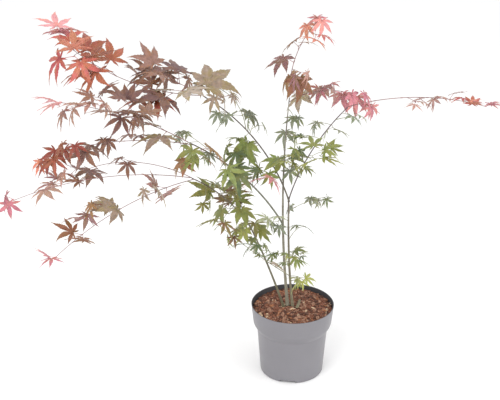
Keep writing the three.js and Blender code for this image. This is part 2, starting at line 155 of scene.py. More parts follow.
# The bark's relief: joints where pairs of leaves have been, a groove past each of them, and fine
# ridges and pits between them
JOINT_SPACING = 44
FIRST_JOINT = 0.6
JOINT_HEIGHT = 0.14
JOINT_WIDTH = 1.8
GROOVE_PAST_JOINT = 1.6
GROOVE_WIDTH = 0.7
GROOVE_SHARE = 0.8
RIDGE_HEIGHT = 0.07
RIDGE_PACE = 2.2
RIDGE_STRETCH = 0.05
PIT_DEPTH = 0.05
PIT_STRETCH = 0.35
RELIEF_SHIFT = 7.3

# The rule by which leaves stand on a shoot, as in the solids
SHOOT_STEP = 30
LONG_SHOOT_RADIUS = 1.1
SHORT_SHOOT_RADIUS = 0.9
SPRIG_RADIUS = 0.75
SHOOT_TIP_RADIUS = 0.7
SLENDER = 0.8
SHORT_SHOOT_DROOP = 20
BARE_SHARE = 0.16
FIRST_PAIR = 0.2
LAST_PAIR = 0.995
CROWDING = 1.25
PAIR_SPREAD = 62
LAST_PAIR_SPREAD = 0.75
PAIR_PHASE = 35
STAGGER = 2
TIP_SHRINK = 0.28
TWIG_SHARE = 0.12
TWIG_LENGTH = 0.6
SWINGS = [0, 24, -24, 48, -48, 72]
STALK_LENGTH = 0.42
STALK_BEND = 0.35
BLADE_DROOP = 0.14

# How much the leaves differ: the whole range that each part of their stance varies by, in degrees
# for phase and spread and in radians for turn and roll, and a leaf's least and greatest size
PHASE_RANGE = 60
SPREAD_RANGE = 24
HANG_RANGE = 0.7
HANG_LIMITS = (-0.75, 0.92)
TURN_RANGE = 1.6
ROLL_RANGE = 1.2
VIGOURS = (0.85, 1.15)
TINT_RANGE = 0.7
LOOKS = 6

# A leaf or twig stands where its solid has a corner, to within this
LEAF_MATCH = 0.3
TWIG_MATCH = 1.2

# What shows of a shoot closer to
SHOOT_SIDES = 8
SHOOT_RING_STEP = 2.5
SHOOT_JOINT_WIDTH = 1.5
SHOOT_JOINT_HEIGHT = 0.5
TWIG_RADIUS = 0.6
TWIG_FOOT_SHARE = 1.2
TWIG_ARCH = 0.6
STALK_RADIUS = 0.5
STALK_WIDTHS = [1.7, 1.15, 1, 0.95, 0.95, 0.95, 1, 0.9]
STALK_SIDES = 6
STALK_OVERLAP = 1.2
STALK_BELOW_BLADE = 0.2
STALK_SIZES = (0.75, 1)
USUAL_LEAF = 50
BUD_LENGTH = 3.2
BUD_RADIUS = 0.85
BUD_SIDES = 6
BUD_SHARES = [0, 0.25, 0.5, 0.75, 0.93, 1.0]
BUD_WIDTHS = [0.6, 1.0, 0.95, 0.6, 0.22, 0.03]
BUD_SIZES = (0.8, 1.1)
BUD_HUG = 2.2

# A leaf's blade, in shares of its length. Its lobes run from one side of the stalk to the other,
# each with its angle from the middle lobe, its reach, and its rows of points past the heart.
LOBES = [
    (-128, 0.34, 7),
    (-88, 0.64, 11),
    (-44, 0.9, 17),
    (0, 1.0, 17),
    (44, 0.9, 17),
    (88, 0.64, 11),
    (128, 0.34, 7),
]
HEART = 0.19
HEART_SHARE = 0.4
HEART_ROWS = 3
LOBE_HALF_WIDTH = 0.16
LOBE_RISE = 1.6
LOBE_FALL = 2.1
OUTER_SPREAD = 14
TOOTH = 0.065
TOOTH_LEAN = 0.014
BLADE_HALF_THICKNESS = 0.13
YOUNG_NARROWING = 0.3

# How one leaf's lobes differ from another's. They close up, sweep back and wander sideways past
# the heart, a wave having its pace by lobe and by leaf.
CLOSINGS = (0.9, 1.04)
SWEEP = 0.5
UNSWEPT = 0.35
WANDER = 0.16
WANDER_WAVE = (2.4, 9)
# They fold up at their edges, less towards the tip, and their edges ripple.
LOBE_FOLD = 0.3
FOLD_LEAST = 0.4
FOLD_FLAT = 0.1
FOLD_CURVE = 1.4
FOLD_END = 1.25
FOLD_AT_TIP = 0.15
RIPPLE = 0.01
RIPPLE_PACE = 26
RIPPLE_SHIFT = 1.3
# The blade sags, and its tips curl down and drop by turns.
SAGS = (0.6, 1.4)
CURLS = (0.05, 0.27)
CURL_CURVE = 2.4
DROP = 0.07
DROP_WAVE = (1.9, 6.3)
DROP_CURVE = 1.5

# Colours of the foliage. Each has its slot, the upper sides of its three kinds of leaf, the tone
# that their patches turn to, and a stalk.
TINTS = {
    "lime": ("leaf_lime", (0x77803F, 0x828749, 0x8C9350), 0x98994F, 0x807C41),
    "green": ("leaf_green", (0x5B6B47, 0x667247, 0x6A7640), 0x7F8247, 0x727244),
    "sage": ("leaf_green", (0x868F7B, 0x8F947B, 0x969B7F), 0x7C8A5E, 0x857E62),
    "olive": ("leaf_olive", (0x7F6148, 0x70703F, 0x6E7642), 0x7E7A40, 0x735639),
    "bronze": ("leaf_bronze", (0x8E5E49, 0x8E634A, 0x8F6B4C), 0x87693F, 0x874A36),
    "tan": ("leaf_bronze", (0x957F70, 0x907E6F, 0x97897B), 0x8C7E54, 0x8E6359),
    "mauve": ("leaf_mauve", (0x73524F, 0x7C5D56, 0x806158), 0x865E45, 0x7C4A46),
    "dusty": ("leaf_mauve", (0x9C7074, 0x9F7672, 0xA57C71), 0x97755C, 0x9F5E5D),
    "brick": ("leaf_coral", (0x94483E, 0x934D3F, 0x955645), 0x93573A, 0x913F33),
    "coral": ("leaf_coral", (0xB65258, 0xB85E59, 0xBD7463), 0xB87452, 0xB85449),
    "rose": ("leaf_rose", (0xC97A89, 0xC07A85, 0xC6898C), 0xC9857A, 0xC46065),
}
SHADES = (0.82, 1.0, 1.18)
UNDERSIDE = 0xB4B0A4
UNDERSIDE_SHARE = 0.16
LEAF_ROUGHNESS = {"upper": 0.42, "under": 0.6}

# Colours of the shoots, under green leaves and under others, and of the smooth young bark at the
# foot, at the tip and in the streaks of each limb
GREEN_TINTS = ("lime", "green", "sage", "olive")
SHOOT_COLOURS = {"green": 0x8A8A66, "plum": 0x86605E}
BARK_COLOURS = {
    "stem_main": (0x9A9684, 0x6E665E, 0xB7B4A4),
    "stem_right": (0x88826A, 0x6C6058, 0xA6A290),
    "stem_left": (0x74715A, 0x6C6556, 0x8E8B74),
    "pruned_stub": (0x8F8B6E, 0x7A6F5C, 0xB5B29A),
    "bough_left": (0x7A7C6C, 0x625A4C, 0x9A9B8E),
    "bough_high": (0x6C6658, 0x584A46, 0x88837A),
    "bough_right": (0x6A6260, 0x604E54, 0x867C7A),
    "bough_low": (0x6E6C5C, 0x625248, 0x888678),
}
SPECULAR = 0.35
POT_SPECULAR = 0.7

# The studio, in metres. A light has its place, where it looks, its size and its power.
CAMERA_PLACE = (-0.0980, -1.8402, 1.1817)
CAMERA_TILT = 67.684
CAMERA_LENS = 65.25
SENSOR_WIDTH = 36
FLOOR_SIZE = 40
FLOOR_COLOUR = 0xFCFCFC
FLOOR_ROUGHNESS = 0.9
WORLD_STRENGTH = 1.0
LIGHTS = {
    "key": ((-1.4, -2.2, 2.6), (0, 0, 0.4), 1.8, 45),
    "fill": ((2.4, -1.4, 1.8), (0, 0, 0.3), 2.0, 22),
}

# Stems and boughs, as in their solids
LIMBS = {
    "stem_main": dict(
        foot=(-11, 6), length=495, heading=155, turn=40, climb=83.5, droop=-12,
        radii=(4.8, 1.4), flare=2.2,
    ),
    "stem_right": dict(
        foot=(0, -1), length=270, heading=200, turn=40, climb=83, droop=-7,
        radii=(3.2, 1.9), flare=1.5,
    ),
    "stem_left": dict(
        foot=(-21, 0), length=230, heading=205, turn=-5, climb=72, droop=6,
        radii=(2.8, 1.7), flare=1.2,
    ),
    "pruned_stub": dict(
        foot=(10, -6), length=22, heading=20, turn=0, climb=66, droop=-10,
        radii=(3.4, 2.6), flare=0.8,
    ),
    "bough_left": dict(
        on="stem_main", at=0.41, length=305, heading=203, turn=-8, climb=61, droop=31,
        radii=(2.2, 1.3),
    ),
    "bough_high": dict(
        on="stem_right", at=1, length=300, heading=152, turn=16, climb=68, droop=41,
        radii=(1.8, 1.2),
    ),
    "bough_right": dict(
        on="stem_right", at=1, length=255, heading=-24, turn=12, climb=74, droop=26,
        radii=(1.5, 1.1),
    ),
    "bough_low": dict(
        on="stem_left", at=1, length=170, heading=169, turn=4, climb=57, droop=35,
        radii=(1.6, 1.2),
    ),
}

# The long arching shoots. A row holds its name, its limb, the share of that limb it springs from,
# then the shoot's length, heading, turn, climb and droop, its pairs of leaves, a leaf's length,
# how far the leaves hang, the seed of its growth, and its tints from its foot to its tip.
LONG_SHOOTS = [
    ("leader_top", "stem_main", 1, 173, 34, -38, 93, 45, 5, 55, 0.6, 554,
     "bronze dusty dusty bronze coral rose"),
    ("leader_arch", "stem_main", 0.98, 199, 27, -6, 24, 62, 5, 59, 0.75, 1898,
     "tan dusty rose rose rose"),
    ("right_reach", "bough_right", 1, 278, -10, 0, 19, 32, 6, 40, -0.28, 2079,
     "dusty rose dusty dusty coral rose"),
    ("high_far", "bough_high", 1, 330, 191, 7, 4, -43, 6, 82, -0.44, 988,
     "mauve bronze brick brick coral rose"),
    ("high_near", "bough_high", 0.93, 172, 143, 7, 23, 28, 4, 82, -0.3, 857, "tan mauve mauve mauve"),
    ("high_back", "bough_high", 0.6, 194, 100, 50, 43, 46, 3, 52, 0.65, 94, "sage sage sage tan"),
    ("left_far", "bough_left", 1, 282, 200, 1, 34, 21, 5, 64, -0.36, 643,
     "tan mauve mauve dusty rose"),
    ("left_mid", "bough_left", 0.96, 350, 166, 1, 5, 29, 5, 59, 0.31, 2301,
     "tan mauve mauve brick coral"),
    ("low_rise", "bough_low", 0.9, 358, 160, 3, 23, 62, 2, 56, -0.28, 2077, "tan mauve dusty"),
    ("low_arch", "bough_low", 1, 382, 190, 0, 12, 32, 4, 62, 0.73, 2242,
     "bronze mauve mauve dusty rose"),
    ("low_drop", "bough_low", 0.96, 352, 213, 10, -1, 27, 4, 57, -0.37, 456,
     "dusty tan bronze dusty rose"),
    ("low_cross", "stem_right", 0.3, 230, 203, 4, 39, -7, 3, 44, -0.39, 2531, "tan sage sage green"),
]

# The short shoots, by the same columns without turn and droop
SHORT_SHOOTS = [
    ("main_rear_high", "stem_main", 0.95, 45, 66, -30, 2, 36, 0.89, 2134, "sage"),
    ("main_rear_mid", "stem_main", 0.81, 59, 79, 5, 1, 40, 0.89, 1154, "sage"),
    ("main_front", "stem_main", 0.71, 79, 275, 30, 3, 42, 0.08, 1170, "green lime"),
    ("right_rear", "bough_right", 0.78, 82, 80, -10, 1, 40, 0.41, 2520, "sage"),
    ("right_front", "bough_right", 0.66, 62, 262, 12, 1, 46, -0.4, 2746, "green"),
    ("right_inner", "bough_right", 0.45, 77, 276, 25, 1, 47, -0.03, 3543, "lime"),
    ("right_outer", "bough_right", 0.85, 48, 315, 27, 1, 36, 0.24, 710, "sage"),
    ("high_inner", "bough_high", 0.18, 58, 238, 37, 1, 44, 0.69, 1307, "green"),
    ("high_front", "bough_high", 0.48, 45, 202, -3, 2, 59, 0.57, 545, "green"),
    ("high_crest", "bough_high", 0.56, 48, 75, 30, 1, 39, 0.8, 413, "sage"),
    ("high_hanging", "bough_high", 0.93, 47, 292, 28, 2, 42, 0.7, 2362, "tan"),
    ("left_front", "bough_left", 0.69, 65, 279, 13, 2, 52, 0.42, 3272, "green"),
    ("left_rear", "bough_left", 0.78, 112, 130, 23, 1, 30, 0.84, 231, "sage"),
    ("left_salmon", "bough_left", 0.4, 69, 293, 46, 1, 52, 0.14, 3477, "rose"),
    ("left_hanging", "bough_left", 0.9, 54, 274, 14, 3, 56, 0.54, 1592, "bronze olive"),
    ("low_crest", "bough_low", 0.59, 81, 85, -15, 2, 59, -0.2, 705, "olive"),
    ("low_front", "bough_low", 0.79, 51, 272, -3, 1, 32, 0.89, 995, "olive"),
    ("low_heart", "bough_low", 0.34, 99, 256, 13, 2, 46, 0.3, 2884, "olive"),
    ("low_under", "bough_low", 0.1, 50, 235, -8, 1, 34, 0.85, 3095, "olive"),
    ("low_rear", "bough_low", 0.38, 105, 89, -12, 2, 37, -0.22, 977, "olive"),
    ("stem_left_rear", "stem_left", 0.93, 80, 97, 0, 2, 47, 0.47, 197, "lime olive"),
    ("stem_left_front", "stem_left", 0.88, 51, 280, 12, 2, 27, 0.7, 2374, "green"),
    ("stem_left_low", "stem_left", 0.71, 60, 295, 28, 1, 26, 0.83, 3965, "green"),
    ("right_foot_high", "stem_right", 0.81, 92, 248, 37, 1, 37, -0.07, 228, "sage"),
    ("right_foot_rear", "stem_right", 0.9, 125, 52, 5, 3, 32, 0.87, 3388, "sage"),
    ("right_foot_mid", "stem_right", 0.64, 53, 310, 62, 1, 30, 0.21, 2482, "green"),
    ("right_foot_front", "stem_right", 0.54, 100, 279, 22, 2, 27, -0.04, 834, "green"),
    ("right_foot_bright", "stem_right", 0.38, 80, 267, 50, 2, 30, 0.65, 2254, "lime"),
    ("right_foot_side", "stem_right", 0.3, 41, 302, 29, 1, 37, -0.04, 2964, "lime"),
    ("right_foot_low", "stem_right", 0.25, 99, 281, 34, 2, 28, 0.3, 3917, "lime"),
]

# Sprigs that only show close to: how many spring from each of these shoots and limbs
SPRIG_COUNTS = {
    "leader_top": 3, "leader_arch": 1, "right_reach": 4, "high_far": 3, "high_near": 2, "left_far": 4,
    "left_mid": 4, "low_rise": 1, "low_arch": 2, "low_drop": 3, "left_rear": 2, "main_front": 1,
    "right_rear": 1, "right_front": 1, "right_inner": 2, "right_foot_front": 2, "right_foot_rear": 1,
    "high_inner": 1, "high_crest": 1, "high_hanging": 1, "low_crest": 1, "low_under": 1,
    "stem_left_low": 1, "stem_left": 1, "stem_main": 2, "bough_left": 3, "bough_high": 3,
}
# They spring between these shares of the line that bears them, and spread from it by these angles.
SPRIG_SHARES = (0.3, 0.9)
SPRIG_SPREADS = (40, 85)
SPRIG_LENGTHS = (12, 38)
SPRIG_CLIMBS = (-15, 50)
SPRIG_HANGS = (-0.3, 0.8)
# A sprig's leaves against those of its shoot, and their length and tint on a bare limb
SPRIG_LEAF_SHARE = 0.75
LIMB_SPRIG_LEAF = 32
LIMB_SPRIG_TINT = "sage"
SPRIG_SEED = 3
SEEDS = 4000

# What has grown: the line of each limb and shoot, the leaves and the side twigs
paths = {}
leaves = []
twigs = []


def linear(colour):
    """A colour written as 0xRRGGBB, as the shaders mix it."""
    shares = [((colour >> shift) & 255) / 255 for shift in (16, 8, 0)]
    return (*[s / 12.92 if s <= 0.04045 else ((s + 0.055) / 1.055) ** 2.4 for s in shares], 1)


def between(ends, share):
    """The value at a share of the way from one end to the other."""
    return ends[0] + (ends[1] - ends[0]) * share


def seeded(seed):
    """A repeatable stream of numbers from 0 to 1."""
    state = seed

    def draw():
        nonlocal state
        state = (state * 1664525 + 1013904223) % 4294967296
        return state / 4294967296

    return draw


# Growing the limbs, shoots and leaves


def direction(heading, climb):
    """The way of something that heads and climbs so."""
    heading, climb = math.radians(heading), math.radians(climb)
    level = math.cos(climb)
    return Vector((level * math.cos(heading), level * math.sin(heading), math.sin(climb)))


def grow(foot, size, step_length):
    """The line of a limb that sets off from foot and turns evenly as it grows."""
    steps = max(2, math.floor(size["length"] / step_length + 0.5))
    points = [foot.copy()]
    for i in range(steps):
        share = (i + 0.5) / steps
        way = direction(size["heading"] + size["turn"] * share, size["climb"] - size["droop"] * share)
        points.append(points[i] + way * (size["length"] / steps))
    return points


def along(points, share):
    """The point and way of a limb at a share of its length."""
    steps = len(points) - 1
    step = min(math.floor(share * steps), steps - 1)
    way = points[step + 1] - points[step]
    return points[step] + way * (share * steps - step), way.normalized()


def foot_of(limb, share):
    """Where something springs from a limb, just past the limb's end if it springs from there."""
    point, way = along(paths[limb], share)
    return point if share < 1 else point + way * CLEARANCE * TIP_GAP


def grow_limbs():
    """The lines of the stems and boughs."""
    for name, limb in LIMBS.items():
        grounded = "foot" in limb
        foot = Vector((*limb["foot"], GROUND)) if grounded else foot_of(limb["on"], limb["at"])
        paths[name] = grow(foot, limb, LIMB_STEP)


def shoot_of(name, on, at, size, radius, pairs, leaf, hang, seed, tints):
    """A shoot with all that its leaves take from it, and its line, which is grown here."""
    paths[name] = grow(foot_of(on, at), size, SHOOT_STEP)
    return dict(
        name=name, size=size, radii=(radius * SLENDER, SHOOT_TIP_RADIUS * SLENDER), pairs=pairs,
        leaf=leaf, hang=hang, seed=seed, tints=tints.split(), look=seeded(seed * 31 + 7),
    )


def all_shoots():
    """The shoots of both tables, by name."""
    made = {}
    for name, on, at, length, heading, turn, climb, droop, *rest in LONG_SHOOTS:
        size = dict(length=length, heading=heading, turn=turn, climb=climb, droop=droop)
        made[name] = shoot_of(name, on, at, size, LONG_SHOOT_RADIUS, *rest)
    for name, on, at, length, heading, climb, *rest in SHORT_SHOOTS:
        size = dict(length=length, heading=heading, turn=0, climb=climb, droop=SHORT_SHOOT_DROOP)
        made[name] = shoot_of(name, on, at, size, SHORT_SHOOT_RADIUS, *rest)
    return made


def sprigs_on(name, count, shoot, draw):
    """The sprigs of one line, spread along it and to both sides, with leaves like its own."""
    made = []
    for i in range(count):
        at = between(SPRIG_SHARES, (i + draw()) / count)
        way = along(paths[name], at)[1]
        hand = 1 if draw() < 0.5 else -1
        heading = math.degrees(math.atan2(way.y, way.x)) + hand * between(SPRIG_SPREADS, draw())
        length, climb = between(SPRIG_LENGTHS, draw()), between(SPRIG_CLIMBS, draw())
        size = dict(length=length, heading=heading, turn=0, climb=climb, droop=SHORT_SHOOT_DROOP)
        leaf, tint = LIMB_SPRIG_LEAF, LIMB_SPRIG_TINT
        if shoot:
            leaf = shoot["leaf"] * SPRIG_LEAF_SHARE
            tint = shoot["tints"][round(at * (len(shoot["tints"]) - 1))]
        hang = between(SPRIG_HANGS, draw())
        seed = int(draw() * SEEDS)
        label = f"sprig_{name}_{i}"
        made.append(shoot_of(label, name, at, size, SPRIG_RADIUS, 1, leaf, hang, seed, tint))
    return made


def all_sprigs(by_name):
    """The sprigs of every line that bears some."""
    draw = seeded(SPRIG_SEED)
    made = []
    for name, count in SPRIG_COUNTS.items():
        made += sprigs_on(name, count, by_name.get(name), draw)
    return made


def staggered(point, way, hand):
    """The two buds of a pair sit a little apart along their shoot."""
    return point - way * STAGGER if hand < 0 else point.copy()


def buds_of(shoot):
    """The buds of a shoot stand in opposite pairs, closer together towards its tip."""
    buds = []
    for pair in range(shoot["pairs"]):
        several = shoot["pairs"] > 1
        order = pair / (shoot["pairs"] - 1) if several else 1
        first = FIRST_PAIR if several else 1
        share = first + (1 - first) * (1 - (1 - order) ** CROWDING)
        point, way = along(paths[shoot["name"]], min(share, LAST_PAIR))
        for hand in (-1, 1):
            buds.append(dict(
                node=staggered(point, way, hand),
                way=way,
                hand=hand,
                phase=pair % 2 * PAIR_PHASE,
                shrink=TIP_SHRINK * order if shoot["pairs"] > 2 else 0,
                last=pair == shoot["pairs"] - 1,
                share=share,
                order=order,
            ))
    return buds


def stance(draw, shoot, bud):
    """What grows from a bud, and how it stands, from eight draws of the stream."""
    bare, branch, lift, opening, drop, aside, twist, vigour = [draw() for _ in range(8)]
    across = bud["way"].cross(UP).normalized()
    above = across.cross(bud["way"]).normalized()
    phase = math.radians(bud["phase"] + (lift - 0.5) * PHASE_RANGE)
    radial = across * math.cos(phase) * bud["hand"] + above * math.sin(phase)
    usual = PAIR_SPREAD * (LAST_PAIR_SPREAD if bud["last"] else 1)
    spread = math.radians(usual + (opening - 0.5) * SPREAD_RANGE)
    hang = shoot["hang"] + (drop - 0.5) * HANG_RANGE
    return dict(
        missing=bare < BARE_SHARE and not bud["last"],
        branching=branch < TWIG_SHARE and not bud["last"] and shoot["pairs"] > 2,
        node=bud["node"],
        out=(bud["way"] * math.cos(spread) + radial * math.sin(spread)).normalized(),
        hang=min(max(hang, HANG_LIMITS[0]), HANG_LIMITS[1]),
        turn=(aside - 0.5) * TURN_RANGE,
        roll=(twist - 0.5) * ROLL_RANGE,
        length=shoot["leaf"] * (1 - bud["shrink"]) * between(VIGOURS, vigour),
        order=bud["order"],
    )


def turned(vector, axis, angle):
    """A vector turned about an axis by an angle in radians."""
    return Quaternion(axis, angle) @ vector


def blade_stand(place, out):
    """Where the foot of a blade is, and the ways of its width, its middle lobe and its face."""
    stalk_length = place["length"] * STALK_LENGTH
    bent = (out - UP * STALK_BEND * max(place["hang"], 0)).normalized()
    base = place["node"] + (out + bent) * (stalk_length / 2)
    level = turned(Vector((out.x, out.y, 0)).normalized(), UP, place["turn"])
    side = level.cross(UP)
    tilt = math.radians(90 * place["hang"])
    way = level * math.cos(tilt) - UP * math.sin(tilt)
    across = turned(side, way, place["roll"])
    return base, across, way, across.cross(way)


def node_of(shoot):
    """The name of a shoot's solid. A sprig has none."""
    name = "spray_" + shoot["name"]
    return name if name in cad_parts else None


def solid_points(node):
    """The corners of a node's solid, to be searched by place, in millimetres."""
    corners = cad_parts[node].data.vertices
    tree = kdtree.KDTree(len(corners))
    for i, corner in enumerate(corners):
        tree.insert(corner.co / MM, i)
    tree.balance()
    return tree


def settled(place, corners):
    """The leaf as its solid has it, swung aside where that was needed, or None if it was skipped."""
    for swing in SWINGS:
        out = turned(place["out"], UP, math.radians(swing))
        base, across, way, face = blade_stand(place, out)
        tip = base + (way - face * BLADE_DROOP) * place["length"]
        if corners is None or corners.find(tip)[2] < LEAF_MATCH:
            return dict(place, out=out, base=base, across=across, along=way, face=face)
    return None


def add_leaf(shoot, place):
    """Gives a leaf its tint and looks, and keeps it, unless its solid has none there."""
    if place is None:
        return
    tints = shoot["tints"]
    wander = (shoot["look"]() - 0.5) * TINT_RANGE
    step = round(place["order"] * (len(tints) - 1) + wander)
    place["shoot"] = shoot["name"]
    place["tint"] = tints[min(max(step, 0), len(tints) - 1)]
    place["look"] = [shoot["look"]() for _ in range(LOOKS)]
    leaves.append(place)


def grow_foliage(shoot):
    """Adds the leaves and side twigs of a shoot to the lists of what has grown."""
    draw = seeded(shoot["seed"])
    node = node_of(shoot)
    corners = solid_points(node) if node else None
    for bud in buds_of(shoot):
        place = stance(draw, shoot, bud)
        if place["missing"]:
            continue
        if not place["branching"]:
            add_leaf(shoot, settled(place, corners))
            continue
        tip = bud["node"] + place["out"] * shoot["leaf"] * TWIG_LENGTH
        fits = corners is None or corners.find(tip)[2] < TWIG_MATCH
        if fits:
            twigs.append(dict(points=[bud["node"], tip], shoot=shoot))
        for hand in (-1, 1):
            end = dict(
                node=staggered(tip, place["out"], hand), way=place["out"], hand=hand, phase=0,
                shrink=TIP_SHRINK, last=True, order=bud["order"],
            )
            tip_leaf = stance(draw, shoot, end)
            if fits:
                add_leaf(shoot, settled(tip_leaf, corners))


def main_tint(shoot):
    """The tint that most of a shoot's leaves have."""
    own = [place["tint"] for place in leaves if place["shoot"] == shoot["name"]]
    return max(sorted(set(own)), key=own.count)


# Meshes


class Shape:
    """Points and faces gathered for one mesh."""

    def __init__(self):
        self.points = []
        self.faces = []
        self.marks = []
        self.details = []
        self.rims = []
        self.count = 0

    def add(self, points, faces, marks=0, details=None, rims=None):
        """Adds a part. marks are its faces' materials, details and rims its points' attributes."""
        points = np.asarray(points, float).reshape(-1, 3)
        first = self.count
        self.points.append(points)
        self.faces.extend([tuple(corner + first for corner in face) for face in faces])
        self.marks.extend(marks if isinstance(marks, list) else [marks] * len(faces))
        self.details.append(np.zeros((len(points), 3)) if details is None else details)
        self.rims.append(np.zeros(len(points), bool) if rims is None else rims)
        self.count += len(points)

    def mesh(self, name):
        """The mesh of all parts, smooth but for the edges between two points of a rim."""
        mesh = bpy.data.meshes.new(name)
        mesh.from_pydata(np.concatenate(self.points) * MM, [], self.faces)
        mesh.polygons.foreach_set("material_index", self.marks)
        mesh.polygons.foreach_set("use_smooth", [True] * len(self.faces))
        detail = mesh.attributes.new("detail", "FLOAT_VECTOR", "POINT")
        detail.data.foreach_set("vector", np.concatenate(self.details).ravel().astype(np.float32))
        ends = np.zeros(len(mesh.edges) * 2, int)
        mesh.edges.foreach_get("vertices", ends)
        rim = np.concatenate(self.rims)[ends.reshape(-1, 2)].all(1)
        if rim.any():
            sharp = mesh.attributes.new("sharp_edge", "BOOLEAN", "EDGE")
            sharp.data.foreach_set("value", rim)
        mesh.update()
        return mesh


def placed(name, data):
    """An object of the scene that shows a mesh, a lamp or a camera."""
    made = bpy.data.objects.new(name, data)
    bpy.context.scene.collection.objects.link(made)
    return made


def finish_piece(name, mesh, materials, nodes=()):
    """Makes a mesh a piece of the plant, in place of the solids that it stands for."""
    piece = placed(name, mesh)
    for material in materials:
        mesh.materials.append(material)
    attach(piece, BODY)
    if nodes:
        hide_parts(*nodes)


def smooth_line(points, spacing):
    """Points on a smooth curve through points, about as far apart as spacing."""
    knots = [np.array(point) for point in points]
    knots = [2 * knots[0] - knots[1], *knots, 2 * knots[-1] - knots[-2]]
    line = []
    for a, b, c, d in zip(knots, knots[1:], knots[2:], knots[3:]):
        pieces = max(1, math.ceil(np.linalg.norm(c - b) / spacing))
        for t in np.arange(pieces) / pieces:
            line.append(
                0.5 * (2 * b + (c - a) * t + (2 * a - 5 * b + 4 * c - d) * t ** 2
                       + (3 * b - a - 3 * c + d) * t ** 3)
            )
    line.append(knots[-2])
    return np.array(line)


def eased(start, middle, end, shares):
    """Points of the arc that leaves start towards middle and comes in to end from there."""
    return (1 - shares) ** 2 * start + 2 * shares * (1 - shares) * middle + shares ** 2 * end


def distances(line):
    """How far along a line each of its points is."""
    return np.concatenate([[0], np.cumsum(np.linalg.norm(np.diff(line, axis=0), axis=1))])


def ring_frames(line):
    """Two ways across the line at each of its points, turning as little as they can."""
    ways = np.gradient(line, axis=0)
    ways /= np.linalg.norm(ways, axis=1)[:, None]
    start = np.cross(ways[0], (0, 0, 1) if abs(ways[0][2]) < STEEP else (1, 0, 0))
    across = [start / np.linalg.norm(start)]
    for way in ways[1:]:
        carried = across[-1] - way * (across[-1] @ way)
        across.append(carried / np.linalg.norm(carried))
    across = np.array(across)
    return across, np.cross(ways, across)


def tube_faces(rings, sides, foot, tip, first=0):
    """The faces of rings of points, numbered on from first, closed by a point at each end."""
    top = first + (rings - 1) * sides
    faces = []
    for i in range(sides):
        j = (i + 1) % sides
        for low in range(first, top, sides):
            high = low + sides
            faces.append((low + i, low + j, high + j, high + i))
        faces.append((foot, first + j, first + i))
        faces.append((tip, top + i, top + j))
    return faces


def sweep(shape, line, radii, sides, mark=0, relief=None):
    """A closed tube along line. relief lifts its skin by ring and by angle."""
    across, beside = ring_frames(line)
    angles = np.arange(sides) * 2 * math.pi / sides
    reach = np.repeat(np.asarray(radii, float)[:, None], sides, axis=1)
    if relief is not None:
        reach = reach + relief(line, angles)
    cosines, sines = np.cos(angles)[None, :, None], np.sin(angles)[None, :, None]
    rings = line[:, None] + reach[..., None] * (across[:, None] * cosines + beside[:, None] * sines)
    points = [*rings.reshape(-1, 3), line[0], line[-1]]
    shape.add(points, tube_faces(len(line), sides, len(points) - 2, len(points) - 1), mark)


def lathe(profile, sides):
    """A closed solid turned about the pot's axis, from a profile that starts and ends on it."""
    shape = Shape()
    points = []
    for radius, height in profile[1:-1]:
        for side in range(sides):
            angle = side * 2 * math.pi / sides
            points.append((radius * math.cos(angle), radius * math.sin(angle), height))
    points += [(0, 0, profile[0][1]), (0, 0, profile[-1][1])]
    shape.add(points, tube_faces(len(profile) - 2, sides, len(points) - 2, len(points) - 1))
    return shape


def swelling(line, spots, width, height):
    """How much thicker a limb is at each point of its line, for joints at spots along it."""
    away = distances(line)
    return sum((height * np.exp(-(((away - spot) / width) ** 2)) for spot in spots), np.zeros(len(line)))


def rounded_ends(line, radii, foot=False):
    """Radii that run out to a blunt point at a limb's tip, and at its foot too if foot is true."""
    away = distances(line)
    left = away[-1] - away
    radii = radii * np.sqrt(np.clip(left / (radii[-1] * END_ROUNDING), END_LEAST, 1))
    if not foot:
        return radii
    return radii * np.sqrt(np.clip(away / (radii[0] * END_ROUNDING), END_LEAST, 1))


# The stems, boughs and shoots


def bark_relief(radius, seed):
    """Ridges along a limb and small pits, from its radius and a number of its own."""

    def relief(line, angles):
        lift = np.zeros((len(line), len(angles)))
        for ring, away in enumerate(distances(line)):
            for i, angle in enumerate(angles):
                x, y = math.cos(angle), math.sin(angle)
                ridge = noise.noise(Vector((x * RIDGE_PACE, y * RIDGE_PACE, away * RIDGE_STRETCH + seed)))
                pit = noise.noise(Vector((x * radius, y * radius, away * PIT_STRETCH - seed)))
                lift[ring, i] = ridge * RIDGE_HEIGHT * radius / 2 + pit * PIT_DEPTH
        return lift

    return relief


def limb_radii(name, limb, line):
    """A limb's radii along its line, with its flare, its joints and the grooves past them."""
    length = limb["length"]
    shares = np.linspace(0, 1, len(line))
    flare = limb.get("flare", 0) * np.exp(-shares * length / FLARE_REACH)
    slender = MAIN_STEM_SLENDER if name == "stem_main" else LIMB_SLENDER
    radii = slender * (between(limb["radii"], shares) + flare)
    joints = np.arange(JOINT_SPACING * FIRST_JOINT, length, JOINT_SPACING)
    radii = radii + swelling(line, joints, JOINT_WIDTH, JOINT_HEIGHT * radii.mean())
    groove = JOINT_HEIGHT * radii.mean() * GROOVE_SHARE
    return radii - swelling(line, joints + GROOVE_PAST_JOINT, GROOVE_WIDTH, groove)


